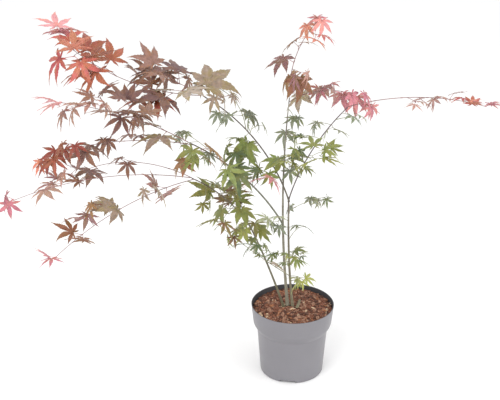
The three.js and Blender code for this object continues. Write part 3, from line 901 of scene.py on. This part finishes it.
def limb_piece(name, limb):
    """A stem or bough with its bark's relief. One that stands on the mix is cut off level there."""
    line = smooth_line(paths[name], LIMB_RING_STEP)
    radii = limb_radii(name, limb, line)
    if "on" in limb:
        radii = radii + swelling(line, [0], FOOT_SWELLING_WIDTH, FOOT_SWELLING)
        back = line[0] - line[1]
        foot = line[0] + back / np.linalg.norm(back) * (TIP_SINK if limb["at"] == 1 else SIDE_SINK)
        line = np.vstack([foot, line])
        radii = np.concatenate([[radii[0] * SUNK_SHARE], radii])
    radii = rounded_ends(line, radii)
    shape = Shape()
    sweep(shape, line, radii, LIMB_SIDES, 0, bark_relief(radii.mean(), len(name) * RELIEF_SHIFT))
    mesh = shape.mesh("bark_" + name)
    if "foot" in limb:
        for corner in mesh.vertices:
            corner.co.z = max(corner.co.z, GROUND * MM)
    finish_piece("bark_" + name, mesh, [bark_material(name)], [name])


def bud_cone(shape, foot, way, size):
    """A small pointed bud."""
    line = np.array(foot) + np.outer(np.array(BUD_SHARES) * BUD_LENGTH * size, np.array(way))
    sweep(shape, line, np.array(BUD_WIDTHS) * BUD_RADIUS * size, BUD_SIDES)


def shoot_tube(shape, shoot):
    """A shoot with a swollen joint at each pair of buds, and its buds."""
    line = smooth_line(paths[shoot["name"]], SHOOT_RING_STEP)
    spots = sorted({bud["share"] * shoot["size"]["length"] for bud in buds_of(shoot)})
    widths = np.linspace(*shoot["radii"], len(line))
    widths = widths + swelling(line, spots, SHOOT_JOINT_WIDTH, SHOOT_JOINT_HEIGHT)
    sweep(shape, line, rounded_ends(line, widths, True), SHOOT_SIDES)
    for bud in buds_of(shoot):
        lean = stance(seeded(1), shoot, dict(bud, phase=0))["out"]
        way = (bud["way"] * BUD_HUG + lean).normalized()
        bud_cone(shape, bud["node"], way, between(BUD_SIZES, shoot["look"]()))


def twig_tube(shape, twig):
    """A side twig, arching a little."""
    foot, tip = twig["points"]
    line = smooth_line([foot, (foot + tip) / 2 + UP * TWIG_ARCH, tip], SHOOT_RING_STEP)
    widths = np.linspace(TWIG_RADIUS * TWIG_FOOT_SHARE, TWIG_RADIUS, len(line))
    sweep(shape, line, rounded_ends(line, widths), SHOOT_SIDES)


def shoot_pieces():
    """The shoots and side twigs with their buds, those under green leaves apart from the others."""
    kinds = {s["name"]: "green" if main_tint(s) in GREEN_TINTS else "plum" for s in shoots}
    for kind, colour in SHOOT_COLOURS.items():
        shape = Shape()
        own = [shoot for shoot in shoots if kinds[shoot["name"]] == kind]
        for shoot in own:
            shoot_tube(shape, shoot)
        for twig in twigs:
            if kinds[twig["shoot"]["name"]] == kind:
                twig_tube(shape, twig)
        name = "shoots_" + kind
        nodes = [node_of(shoot) for shoot in own if node_of(shoot)]
        finish_piece(name, shape.mesh(name), [shoot_material("shoot_" + kind, colour)], nodes)


# The leaves


def lobe_width(share):
    """Half a lobe's width at a share of its reach, widest a little before its middle."""
    widest = LOBE_RISE / (LOBE_RISE + LOBE_FALL)
    full = widest ** LOBE_RISE * (1 - widest) ** LOBE_FALL
    return LOBE_HALF_WIDTH * share ** LOBE_RISE * (1 - share) ** LOBE_FALL / full


class Blade:
    """A leaf's blade of length 1 lying flat, its foot at the origin and its middle lobe along +Y.

    A point has the angle of its lobe, how far along and aside of that lobe's line it is, how near
    the lobe's edge it is from 0 to 1, which lobe it is on, and whether it is on the blade's rim."""

    def __init__(self):
        self.points = []
        self.faces = []
        self.foot = self.put(0, 0, 0, 0, len(LOBES) // 2, True)
        borders = [self.border(i) for i in range(len(LOBES) + 1)]
        for i, (angle, reach, rows) in enumerate(LOBES):
            (left, left_depth), (right, right_depth) = borders[i], borders[i + 1]
            heart = (left_depth + right_depth) / 2
            grid = []
            for row in range(HEART_ROWS):
                middle = self.put(angle, heart * (row + 1) / HEART_ROWS, 0, 0, i)
                grid.append(self.across(left[row], middle, right[row], i))
            for row in range(1, rows):
                grid.append(self.lobe_row(angle, reach, heart + (reach - heart) * row / rows, row, i))
            self.stitch(grid, self.put(angle, reach, 0, 0, i, True))
        self.close()

    def put(self, angle, away, aside, edge, lobe, rim=False):
        """Adds a point and gives its number."""
        self.points.append((angle, away, aside, edge, lobe, rim))
        return len(self.points) - 1

    def border(self, i):
        """The points between lobe i - 1 and lobe i, out to the notch there, and its depth."""
        lobe = min(i, len(LOBES) - 1)
        before, after = LOBES[max(i - 1, 0)], LOBES[lobe]
        outermost = before is after
        spread = (-OUTER_SPREAD if i == 0 else OUTER_SPREAD) if outermost else 0
        angle = (before[0] + after[0]) / 2 + spread
        depth = min(HEART, min(before[1], after[1]) * HEART_SHARE)
        points = []
        for row in range(1, HEART_ROWS + 1):
            rim = outermost or row == HEART_ROWS
            points.append(self.put(angle, depth * row / HEART_ROWS, 0, 1, lobe, rim))
        return points, depth

    def across(self, left, middle, right, lobe):
        """A row of points across a lobe, from its two edges and its middle."""
        row = [left]
        for a, b in ((left, middle), (middle, right)):
            halfway = [(one + other) / 2 for one, other in zip(self.points[a][:3], self.points[b][:3])]
            row += [self.put(*halfway, 0.5, lobe), b]
        return row

    def lobe_row(self, angle, reach, away, row, lobe):
        """A row of points across a lobe past the heart, every other one on a tooth of its edge."""
        tooth = TOOTH if row % 2 else -TOOTH
        half = lobe_width(away / reach) * reach * (1 + (tooth if row > 1 else 0))
        lean = TOOTH_LEAN if row % 2 else -TOOTH_LEAN / 2
        middle = self.put(angle, away, 0, 0, lobe)
        left, right = [self.put(angle, away + lean, half * hand, 1, lobe, True) for hand in (-1, 1)]
        return self.across(left, middle, right, lobe)

    def stitch(self, grid, tip):
        """Adds the faces of a lobe, from the blade's foot over its rows to its tip."""
        for low, high in zip(grid, grid[1:]):
            for i in range(len(low) - 1):
                self.faces.append((low[i], high[i], high[i + 1]))
                self.faces.append((low[i], high[i + 1], low[i + 1]))
        for i in range(len(grid[0]) - 1):
            self.faces.append((self.foot, grid[0][i], grid[0][i + 1]))
            self.faces.append((grid[-1][i], tip, grid[-1][i + 1]))

    def close(self):
        """Adds the underside, which shares the points of the blade's rim."""
        angle, self.away, self.aside, self.edge, lobe, rim = np.array(self.points, float).T
        self.angle, self.lobe, self.rim = np.radians(angle), lobe.astype(int), rim.astype(bool)
        self.inner = np.flatnonzero(~self.rim)
        under = np.arange(len(self.points))
        under[self.inner] = len(self.points) + np.arange(len(self.inner))
        lower = [tuple(int(under[corner]) for corner in reversed(face)) for face in self.faces]
        self.sides = [0] * len(self.faces) + [1] * len(lower)
        self.faces = self.faces + lower


def lobe_wave(blade, ripple, paces):
    """A wave that differs from lobe to lobe and from leaf to leaf."""
    return np.sin(blade.lobe * paces[0] + ripple * paces[1])


def blade_points(blade, place):
    """The blade's points for one leaf: it sags and folds, and its lobes close, curl and drop."""
    sag, fold, closing, curl, sweep_back, ripple = place["look"]
    past = np.clip((blade.away - HEART) / (1 - HEART), 0, 1)
    angle = blade.angle * between(CLOSINGS, closing)
    angle = angle + (sweep_back - UNSWEPT) * SWEEP * past ** 2 * np.sign(blade.angle)
    angle = angle + lobe_wave(blade, ripple, WANDER_WAVE) * WANDER * past ** 2
    aside = blade.aside * (1 - YOUNG_NARROWING * place["order"])
    x = np.sin(angle) * blade.away + np.cos(angle) * aside
    y = np.cos(angle) * blade.away - np.sin(angle) * aside
    lift = (LOBE_FOLD * (FOLD_LEAST + fold) - FOLD_FLAT) * blade.edge ** FOLD_CURVE
    lift = lift * LOBE_HALF_WIDTH * np.clip(FOLD_END - blade.away, FOLD_AT_TIP, 1)
    lift = lift + RIPPLE * np.sin(blade.away * RIPPLE_PACE + blade.lobe * RIPPLE_SHIFT) * blade.edge
    drop = BLADE_DROOP * between(SAGS, sag) * (x ** 2 + y ** 2)
    drop = drop + between(CURLS, curl) * past ** CURL_CURVE
    drop = drop + lobe_wave(blade, ripple, DROP_WAVE) * DROP * past ** DROP_CURVE
    ways = np.array([place["across"], place["along"], place["face"]])
    flat = np.stack([x, y, lift - drop], 1) * place["length"] @ ways + np.array(place["base"])
    rise = ways[2] * BLADE_HALF_THICKNESS
    return np.vstack([flat + rise * ~blade.rim[:, None], flat[blade.inner] - rise])


def stalk(shape, place, mark):
    """A leaf's stalk, bent from its bud to the foot of its blade."""
    elbow = place["node"] + place["out"] * place["length"] * STALK_LENGTH / 2
    end = place["base"] + place["along"] * STALK_OVERLAP - place["face"] * STALK_BELOW_BLADE
    shares = np.linspace(0, 1, len(STALK_WIDTHS))[:, None]
    line = eased(np.array(place["node"]), np.array(elbow), np.array(end), shares)
    size = between(STALK_SIZES, place["length"] / USUAL_LEAF)
    sweep(shape, line, STALK_RADIUS * size * np.array(STALK_WIDTHS), STALK_SIDES, mark)


def leaf_materials(tint, colours, patch, stalk_colour):
    """The materials of a tint: its upper sides, its paler undersides and its stalks."""
    made = []
    for side, roughness in LEAF_ROUGHNESS.items():
        for i, (colour, shade) in enumerate(zip(colours, SHADES)):
            pair = (colour, patch) if side == "upper" else (underside(colour), underside(patch))
            made.append(leaf_material(f"leaf_{tint}_{side}_{i}", *pair, shade, roughness))
    return [*made, stalk_material(f"stalk_{tint}", stalk_colour)]


def leaf_pieces():
    """One piece for the leaves of each tint, with their stalks."""
    blade = Blade()
    details = np.stack([blade.away, blade.edge, np.zeros(len(blade.away))], 1)
    details = np.vstack([details, details[blade.inner]])
    rims = np.concatenate([blade.rim, np.zeros(len(blade.inner), bool)])
    for tint, (slot, *colours) in TINTS.items():
        shape = Shape()
        for place in leaves:
            if place["tint"] != tint:
                continue
            shade = int(place["look"][-1] * len(SHADES))
            marks = [side * len(SHADES) + shade for side in blade.sides]
            shape.add(blade_points(blade, place), blade.faces, marks, details, rims)
            stalk(shape, place, 2 * len(SHADES))
        nodes = [node_of(shoot) for shoot in shoots if main_tint(shoot) == tint and node_of(shoot)]
        name = "leaves_" + tint
        finish_piece(name, shape.mesh(name), leaf_materials(tint, *colours), nodes)


# Shaders. Each has its own grain, mottling and relief, worked out from its place on the plant.


def new_material(name, colour, roughness):
    """A material with its tree's nodes, its links and its shader."""
    material = bpy.data.materials.new(name)
    material.use_nodes = True
    tree = material.node_tree
    shader = tree.nodes["Principled BSDF"]
    base = linear(colour)
    fill_inputs(tree, shader, Base_Color=base, Roughness=roughness, Specular_IOR_Level=SPECULAR)
    return material, tree, shader


def fill(tree, socket, value):
    """Links a socket to another one, or gives it a value of its own."""
    if isinstance(value, bpy.types.NodeSocket):
        tree.links.new(value, socket)
    else:
        socket.default_value = value


def fill_inputs(tree, node, **values):
    """Fills inputs of a node, each by its name with _ for a space."""
    for name, value in values.items():
        fill(tree, node.inputs[name.replace("_", " ")], value)


def add_node(tree, kind, **values):
    """A node with its settings and its inputs."""
    made = tree.nodes.new(kind)
    for name in [name for name in values if hasattr(made, name)]:
        setattr(made, name, values.pop(name))
    fill_inputs(tree, made, **values)
    return made


def compute(tree, operation, *values):
    """The outcome of a sum over sockets and numbers."""
    made = add_node(tree, "ShaderNodeMath", operation=operation)
    for i, value in enumerate(values):
        fill(tree, made.inputs[i], value)
    return made.outputs[0]


def grain(tree, scale, detail, stretch=(1, 1, 1)):
    """Noise over the object's own place, in cells of about 1 / scale metres."""
    place = add_node(tree, "ShaderNodeTexCoord").outputs["Object"]
    mapped = add_node(tree, "ShaderNodeMapping", Vector=place, Scale=stretch).outputs["Vector"]
    return add_node(tree, "ShaderNodeTexNoise", Vector=mapped, Scale=scale, Detail=detail).outputs["Fac"]


def ramp(tree, socket, stops):
    """Colours read off a scale of shares."""
    made = add_node(tree, "ShaderNodeValToRGB", Fac=socket)
    scale = made.color_ramp.elements
    while len(scale) < len(stops):
        scale.new(0.5)
    for stop, (place, colour) in zip(scale, stops):
        stop.position = place
        stop.color = colour
    return made.outputs["Color"]


def mask(tree, socket, *stops):
    """Shares read off a scale. A stop has its place on it and its share."""
    return ramp(tree, socket, [(place, (share, share, share, 1)) for place, share in stops])


def tones(tree, socket, colour, *stops):
    """Tones of a colour read off a scale. A stop has its place on it and its share of the colour."""
    return ramp(tree, socket, [(place, shaded(colour, share)) for place, share in stops])


def blend(tree, share, first, second):
    """Two colours mixed by a share."""
    made = tree.nodes.new("ShaderNodeMix")
    made.data_type = "RGBA"
    for name, value in (("Factor", share), ("A", first), ("B", second)):
        fill(tree, next(s for s in made.inputs if s.name == name and s.enabled), value)
    return next(s for s in made.outputs if s.enabled)


def shaded(colour, share):
    """A colour as the shaders mix it, darker or lighter by a share."""
    return tuple(min(1, part * share) for part in linear(colour)[:3]) + (1,)


def bump(tree, shader, height, strength, distance):
    """Relief for a shader from a height, distance being how deep it is in metres."""
    made = add_node(tree, "ShaderNodeBump", Height=height, Strength=strength, Distance=distance)
    fill_inputs(tree, shader, Normal=made.outputs["Normal"])


def underside(colour):
    """The paler colour of a leaf's underside."""
    parts = [(colour >> shift & 255, UNDERSIDE >> shift & 255) for shift in (16, 8, 0)]
    red, green, blue = [round(between(pair, UNDERSIDE_SHARE)) for pair in parts]
    return red << 16 | green << 8 | blue


def leaf_material(name, colour, patch, shade, roughness):
    """A blade, mottled and turning in patches, with a pale midrib and fine side veins."""
    material, tree, shader = new_material(name, colour, roughness)
    mottle = grain(tree, scale=95, detail=4)
    base = tones(tree, mottle, colour, (0.35, 0.8 * shade), (0.65, 1.2 * shade))
    turning = mask(tree, grain(tree, scale=38, detail=3), (0.46, 0), (0.6, 0.75))
    base = blend(tree, turning, base, shaded(patch, shade))
    detail = add_node(tree, "ShaderNodeAttribute", attribute_name="detail").outputs["Vector"]
    away, edge, _ = add_node(tree, "ShaderNodeSeparateXYZ", Vector=detail).outputs
    midrib = add_node(tree, "ShaderNodeMapRange", Value=edge, From_Max=0.16, To_Min=0.35, To_Max=0)
    base = blend(tree, midrib.outputs["Result"], base, shaded(colour, 1.6 * shade))
    fill_inputs(tree, shader, Base_Color=base, Subsurface_Weight=0.12, Subsurface_Scale=0.0015)
    fill_inputs(tree, shader, Subsurface_Radius=(0.9, 0.6, 0.3))
    lean = compute(tree, "MULTIPLY_ADD", -0.12, edge, away)
    veins = compute(tree, "PINGPONG", lean, 0.035)
    bump(tree, shader, compute(tree, "MULTIPLY", veins, 22), strength=0.35, distance=0.0004)
    return material


def mottled_skin(name, colour, roughness, mottle, stops, relief, strength, distance):
    """A skin of one colour in several tones, with a fine relief."""
    material, tree, shader = new_material(name, colour, roughness)
    fill_inputs(tree, shader, Base_Color=tones(tree, grain(tree, **mottle), colour, *stops))
    bump(tree, shader, grain(tree, **relief), strength, distance)
    return material


def stalk_material(name, colour):
    """A leaf's stalk, smooth and slightly mottled."""
    return mottled_skin(
        name, colour, roughness=0.45,
        mottle=dict(scale=90, detail=2), stops=[(0.3, 0.75), (0.7, 1.25)],
        relief=dict(scale=1400, detail=2), strength=0.2, distance=0.0002,
    )


def shoot_material(name, colour):
    """A young shoot's skin, with fine lengthwise streaks."""
    return mottled_skin(
        name, colour, roughness=0.42,
        mottle=dict(scale=70, detail=3), stops=[(0.3, 0.7), (0.7, 1.3)],
        relief=dict(scale=1100, detail=3, stretch=(1, 1, 0.4)), strength=0.3, distance=0.0003,
    )


def chip_material(name, colour):
    """Torn bark, streaked along and across, with a fibrous relief."""
    return mottled_skin(
        name, colour, roughness=0.85,
        mottle=dict(scale=420, detail=6, stretch=(1, 0.45, 1)),
        stops=[(0.28, 0.4), (0.5, 1), (0.72, 1.7)],
        relief=dict(scale=900, detail=5), strength=0.8, distance=0.0012,
    )


def bark_material(limb):
    """Smooth young bark with pale lengthwise streaks, browner towards the limb's tip."""
    low, high, streak = BARK_COLOURS[limb]
    material, tree, shader = new_material("bark_" + limb, low, 0.55)
    foot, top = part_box(limb)
    place = add_node(tree, "ShaderNodeTexCoord").outputs["Object"]
    level = add_node(tree, "ShaderNodeSeparateXYZ", Vector=place).outputs["Z"]
    height = add_node(tree, "ShaderNodeMapRange", Value=level, From_Min=foot.z, From_Max=top.z)
    base = ramp(tree, height.outputs["Result"], [(0, linear(low)), (1, linear(high))])
    streaks = grain(tree, scale=260, detail=5, stretch=(1, 1, 0.12))
    base = blend(tree, mask(tree, streaks, (0.52, 0), (0.66, 0.7)), base, linear(streak))
    specks = grain(tree, scale=900, detail=4, stretch=(1, 1, 0.4))
    base = blend(tree, mask(tree, specks, (0.34, 0.55), (0.5, 0)), base, shaded(high, 0.45))
    fill_inputs(tree, shader, Base_Color=base)
    relief = grain(tree, scale=700, detail=6, stretch=(1, 1, 0.25))
    bump(tree, shader, relief, strength=0.5, distance=0.0006)
    return material


def pot_material(name, colour, roughness):
    """Moulded plastic with a faint haze, fine specks and soft rubbing."""
    material, tree, shader = new_material(name, colour, roughness)
    base = tones(tree, grain(tree, scale=9, detail=4), colour, (0.3, 0.94), (0.7, 1.06))
    specks = mask(tree, grain(tree, scale=1500, detail=2), (0.3, 0.3), (0.4, 0))
    base = blend(tree, specks, base, shaded(colour, 0.8))
    rubbed = grain(tree, scale=40, detail=5, stretch=(1, 1, 0.3))
    ends = dict(To_Min=roughness - 0.1, To_Max=roughness + 0.12)
    tone = add_node(tree, "ShaderNodeMapRange", Value=rubbed, **ends).outputs["Result"]
    fill_inputs(tree, shader, Base_Color=base, Roughness=tone, Specular_IOR_Level=POT_SPECULAR)
    bump(tree, shader, grain(tree, scale=900, detail=3), strength=0.12, distance=0.0003)
    return material


# The pot


def rounded(corners):
    """A profile whose corners are eased off. A corner holds its radius, height and easing."""
    profile = []
    for i, (radius, height, ease) in enumerate(corners):
        here = np.array([radius, height], float)
        if ease == 0:
            profile.append(here)
            continue
        before = np.array(corners[i - 1][:2], float) - here
        after = np.array(corners[i + 1][:2], float) - here
        start = here + before / np.linalg.norm(before) * ease
        end = here + after / np.linalg.norm(after) * ease
        for share in np.linspace(0, 1, EASE_POINTS):
            profile.append(eased(start, here, end, share))
    return profile


def envelope_profile(inset=0):
    """The pot's outside from the middle of its underside to its rim, or a line inset from that."""
    return [
        (0, inset, 0),
        (BODY_FOOT_RADIUS - inset, inset, FOOT_EASE),
        (BODY_TOP_RADIUS - inset, STEP_FOOT, STEP_EASE),
        (BODY_TOP_RADIUS + STEP_LEDGE - inset, STEP_FOOT + STEP_LEDGE / 2, STEP_EASE),
        (COLLAR_FOOT_RADIUS - inset, COLLAR_FOOT, COLLAR_EASE),
        (RIM_RADIUS - inset, POT_HEIGHT, RIM_EASE),
        (RIM_RADIUS - WALL, POT_HEIGHT, RIM_EASE),
    ]


def pot_profile():
    """The whole section of the pot's shell, from its underside up to the rim and back down."""
    return rounded([
        *envelope_profile(),
        (COLLAR_FOOT_RADIUS - WALL, COLLAR_FOOT, COLLAR_EASE),
        (BODY_TOP_RADIUS - WALL, STEP_FOOT, INNER_STEP_EASE),
        (BODY_FOOT_RADIUS - WALL, WALL, INNER_FOOT_EASE),
        (0, WALL, 0),
    ])


def notch_ways():
    """The way out from the pot's axis and the way aside, for each notch and its drain."""
    ways = []
    for i in range(NOTCHES):
        out = np.array(direction(FRONT_NOTCH_HEADING + 360 / NOTCHES * i, 0))
        ways.append((out, np.array([-out[1], out[0], 0])))
    return ways


def notch_solids(spare, height):
    """Blocks at the notches' places, wider at the foot, each reaching out through the wall."""
    shape = Shape()
    levels = [(-height, NOTCH_FOOT_WIDTH * 2 - NOTCH_TOP_WIDTH), (height, NOTCH_TOP_WIDTH)]
    faces = [(0, 2, 3, 1), (4, 5, 7, 6), (0, 1, 5, 4), (2, 6, 7, 3), (0, 4, 6, 2), (1, 3, 7, 5)]
    for out, aside in notch_ways():
        points = []
        for reach in (NOTCH_INNER_RADIUS - spare, RIM_RADIUS):
            for level, width in levels:
                half = width / 2 + spare
                points += [out * reach + aside * hand * half + np.array(UP) * level for hand in (-1, 1)]
        shape.add(points, faces)
    return shape


def drain_solids():
    """Rods at the places of the drains."""
    shape = Shape()
    for out, _ in notch_ways():
        line = out * DRAIN_FROM_AXIS + np.array([[0, 0, -1], [0, 0, 3 * NOTCH_HEIGHT]], float)
        sweep(shape, line, [DRAIN_RADIUS] * 2, DRAIN_SIDES)
    return shape


def helper(name, shape):
    """A loose solid that shapes the pot and is then removed."""
    return placed(name, shape.mesh(name))


def combine(target, tool, operation):
    """Joins a tool to a solid, cuts it out or keeps what both share, and removes the tool."""
    change = target.modifiers.new(operation, "BOOLEAN")
    change.operation = operation
    change.solver = "EXACT"
    change.object = tool
    bpy.context.view_layer.update()
    changed = target.evaluated_get(bpy.context.evaluated_depsgraph_get())
    made = bpy.data.meshes.new_from_object(changed)
    target.modifiers.clear()
    target.data = made
    bpy.data.objects.remove(tool)


def dress_pot():
    """The pot's shell, grey outside and charcoal inside, with its notches and drains."""
    filled = rounded([*envelope_profile(WALL / 2)[:-1], (0, POT_HEIGHT, 0)])
    shell = helper("pot_shell", lathe(pot_profile(), POT_SIDES))
    pockets = helper("pockets", notch_solids(WALL, NOTCH_HEIGHT + WALL))
    combine(pockets, helper("envelope", lathe(filled, POT_SIDES)), "INTERSECT")
    combine(shell, pockets, "UNION")
    combine(shell, helper("notches", notch_solids(0, NOTCH_HEIGHT)), "DIFFERENCE")
    combine(shell, helper("drains", drain_solids()), "DIFFERENCE")
    mesh = shell.data
    for face in mesh.polygons:
        outward = face.normal.x * face.center.x + face.normal.y * face.center.y
        inside = outward < OUTWARD_LEAN * math.hypot(face.center.x, face.center.y)
        face.material_index = 1 if inside and face.center.z > DARK_FROM * MM else 0
        face.use_smooth = True
    mesh.set_sharp_from_angle(angle=math.radians(POT_SHARP_ANGLE))
    bpy.data.objects.remove(shell)
    materials = [
        pot_material("pot_outside", POT_OUTSIDE, roughness=0.4),
        pot_material("pot_inside", POT_INSIDE, roughness=0.6),
    ]
    finish_piece("pot_shell", mesh, materials, ["pot"])


# The growing mix


def mix_level(radius):
    """How high the mix lies at a distance from the pot's axis."""
    return MIX_HEIGHT - MIX_EDGE_SAG * (radius / MIX_RADIUS) ** 2


def dress_bed():
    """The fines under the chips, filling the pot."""
    inset = WALL + BED_SPARE
    profile = [
        (0, MIX_FOOT),
        (BODY_FOOT_RADIUS - inset, MIX_FOOT),
        (BODY_TOP_RADIUS - inset, STEP_FOOT),
        (COLLAR_FOOT_RADIUS - inset, COLLAR_FOOT),
    ]
    for radius in [*np.arange(MIX_RADIUS, 1, -BED_RING_STEP), 0]:
        profile.append((radius, mix_level(radius) - BED_DROP))
    shape = lathe(profile, BED_SIDES)
    for point in shape.points[0]:
        if point[2] > COLLAR_FOOT + 1:
            point[2] += sum(noise.noise(Vector(point) * pace) * height for pace, height in BED_BUMPS)
    materials = [chip_material("mix_fines", FINES_COLOUR)]
    finish_piece("mix_bed", shape.mesh("mix_bed"), materials, ["growing_mix"])


def chip_form(draw):
    """An irregular lump of unit size, from a ball whose points are pulled about."""
    points = [(0, 0, -1)]
    for level in CHIP_LEVELS:
        width = math.sqrt(1 - level * level) ** CHIP_BULGE
        for i in range(CHIP_SIDES):
            angle = i * 2 * math.pi / CHIP_SIDES
            x = math.cos(angle) * width * between(CHIP_PULLS, draw())
            y = math.sin(angle) * width * between(CHIP_PULLS, draw())
            points.append((x, y, level + CHIP_LEVEL_SCATTER * (draw() - 0.5)))
    return np.array([*points, (0, 0, CHIP_TOP)])


def chip_kind(share):
    """The colour of the chip at a share of them all."""
    for kind, (_, part) in CHIP_COLOURS.items():
        if share < part:
            return kind
        share -= part
    return "rust"


def near_stem(place, spare):
    """Whether a place is too near the foot of a stem."""
    feet = [limb["foot"] for limb in LIMBS.values() if "foot" in limb]
    return any(math.hypot(place[0] - x, place[1] - y) < spare for x, y in feet)


def chip_size(draw, crumb):
    """A chip's length, width and thickness."""
    if crumb:
        long = between(CRUMB_LENGTHS, draw())
    else:
        long = between(CHIP_LENGTHS, draw() ** CHIP_LENGTH_SKEW)
    wide = long * between(CHIP_WIDTHS, draw())
    return np.array([long, wide, long * between(CHIP_THICKNESSES, draw())])


def chip_spin(draw):
    """A chip's turn: tipped a little about some level axis, then turned about the upright."""
    axis = (draw() - 0.5, draw() - 0.5, TILT_AXIS_RISE)
    tilt = Quaternion(axis, (draw() - 0.5) * CHIP_TILT)
    return np.array((Quaternion(UP, draw() * 2 * math.pi) @ tilt).to_matrix())


def dress_chips():
    """Loose bark chips and crumbs, lying about level on the bed and held in by the wall."""
    draw = seeded(CHIP_SEED)
    forms = [chip_form(draw) for _ in range(CHIP_FORMS)]
    rings = len(CHIP_LEVELS)
    faces = tube_faces(rings, CHIP_SIDES, 0, 1 + rings * CHIP_SIDES, first=1)
    shapes = {kind: Shape() for kind in CHIP_COLOURS}
    for i in range(CHIPS + CRUMBS):
        crumb = i >= CHIPS
        radius = (MIX_RADIUS - CHIP_EDGE_SPARE) * math.sqrt(draw())
        angle = draw() * 2 * math.pi
        size = chip_size(draw, crumb)
        height = mix_level(radius) + between(CHIP_LIFTS, draw())
        place = np.array([radius * math.cos(angle), radius * math.sin(angle), height])
        spin = chip_spin(draw)
        kind = chip_kind(draw())
        form = forms[int(draw() * len(forms))]
        if near_stem(place, CRUMB_STEM_SPARE if crumb else CHIP_STEM_SPARE):
            continue
        points = form * size @ spin.T + place
        away = np.hypot(points[:, 0], points[:, 1])
        points[:, :2] *= np.minimum(1, MIX_RADIUS / np.maximum(away, 1))[:, None]
        shapes[kind].add(points, faces)
    for kind, shape in shapes.items():
        name = "chips_" + kind
        material = chip_material(name, CHIP_COLOURS[kind][0])
        finish_piece(name, shape.mesh(name), [material])


# The studio


def set_camera():
    """The place that the plant is seen from."""
    data = bpy.data.cameras.new("camera")
    data.lens = CAMERA_LENS
    data.sensor_width = SENSOR_WIDTH
    camera = placed("camera", data)
    camera.location = CAMERA_PLACE
    camera.rotation_euler = (math.radians(CAMERA_TILT), 0, 0)
    bpy.context.scene.camera = camera


def set_floor():
    """A plain pale floor."""
    half = FLOOR_SIZE / 2
    corners = [(-half, -half, 0), (half, -half, 0), (half, half, 0), (-half, half, 0)]
    mesh = bpy.data.meshes.new("floor")
    mesh.from_pydata(corners, [], [(0, 1, 2, 3)])
    floor = placed("floor", mesh)
    material, tree, shader = new_material("floor", FLOOR_COLOUR, FLOOR_ROUGHNESS)
    fill_inputs(tree, shader, Specular_IOR_Level=0)
    mesh.materials.append(material)


def add_light(name, place, aim, size, power):
    """A square lamp that looks at its aim."""
    data = bpy.data.lights.new(name, "AREA")
    data.size = size
    data.energy = power
    light = placed(name, data)
    light.location = place
    light.rotation_euler = (Vector(aim) - Vector(place)).to_track_quat("-Z", "Y").to_euler()


def set_light():
    """An even white surround with two soft lamps, shown as it is."""
    world = bpy.data.worlds.new("studio")
    world.use_nodes = True
    tree = world.node_tree
    fill_inputs(tree, tree.nodes["Background"], Color=(1, 1, 1, 1), Strength=WORLD_STRENGTH)
    bpy.context.scene.world = world
    for name, values in LIGHTS.items():
        add_light(name, *values)
    bpy.context.scene.view_settings.view_transform = "Standard"


grow_limbs()
table_shoots = all_shoots()
shoots = [*table_shoots.values(), *all_sprigs(table_shoots)]
for grown in shoots:
    grow_foliage(grown)

dress_pot()
dress_bed()
dress_chips()
for limb_name, limb_size in LIMBS.items():
    limb_piece(limb_name, limb_size)
shoot_pieces()
leaf_pieces()
set_floor()
set_light()
set_camera()
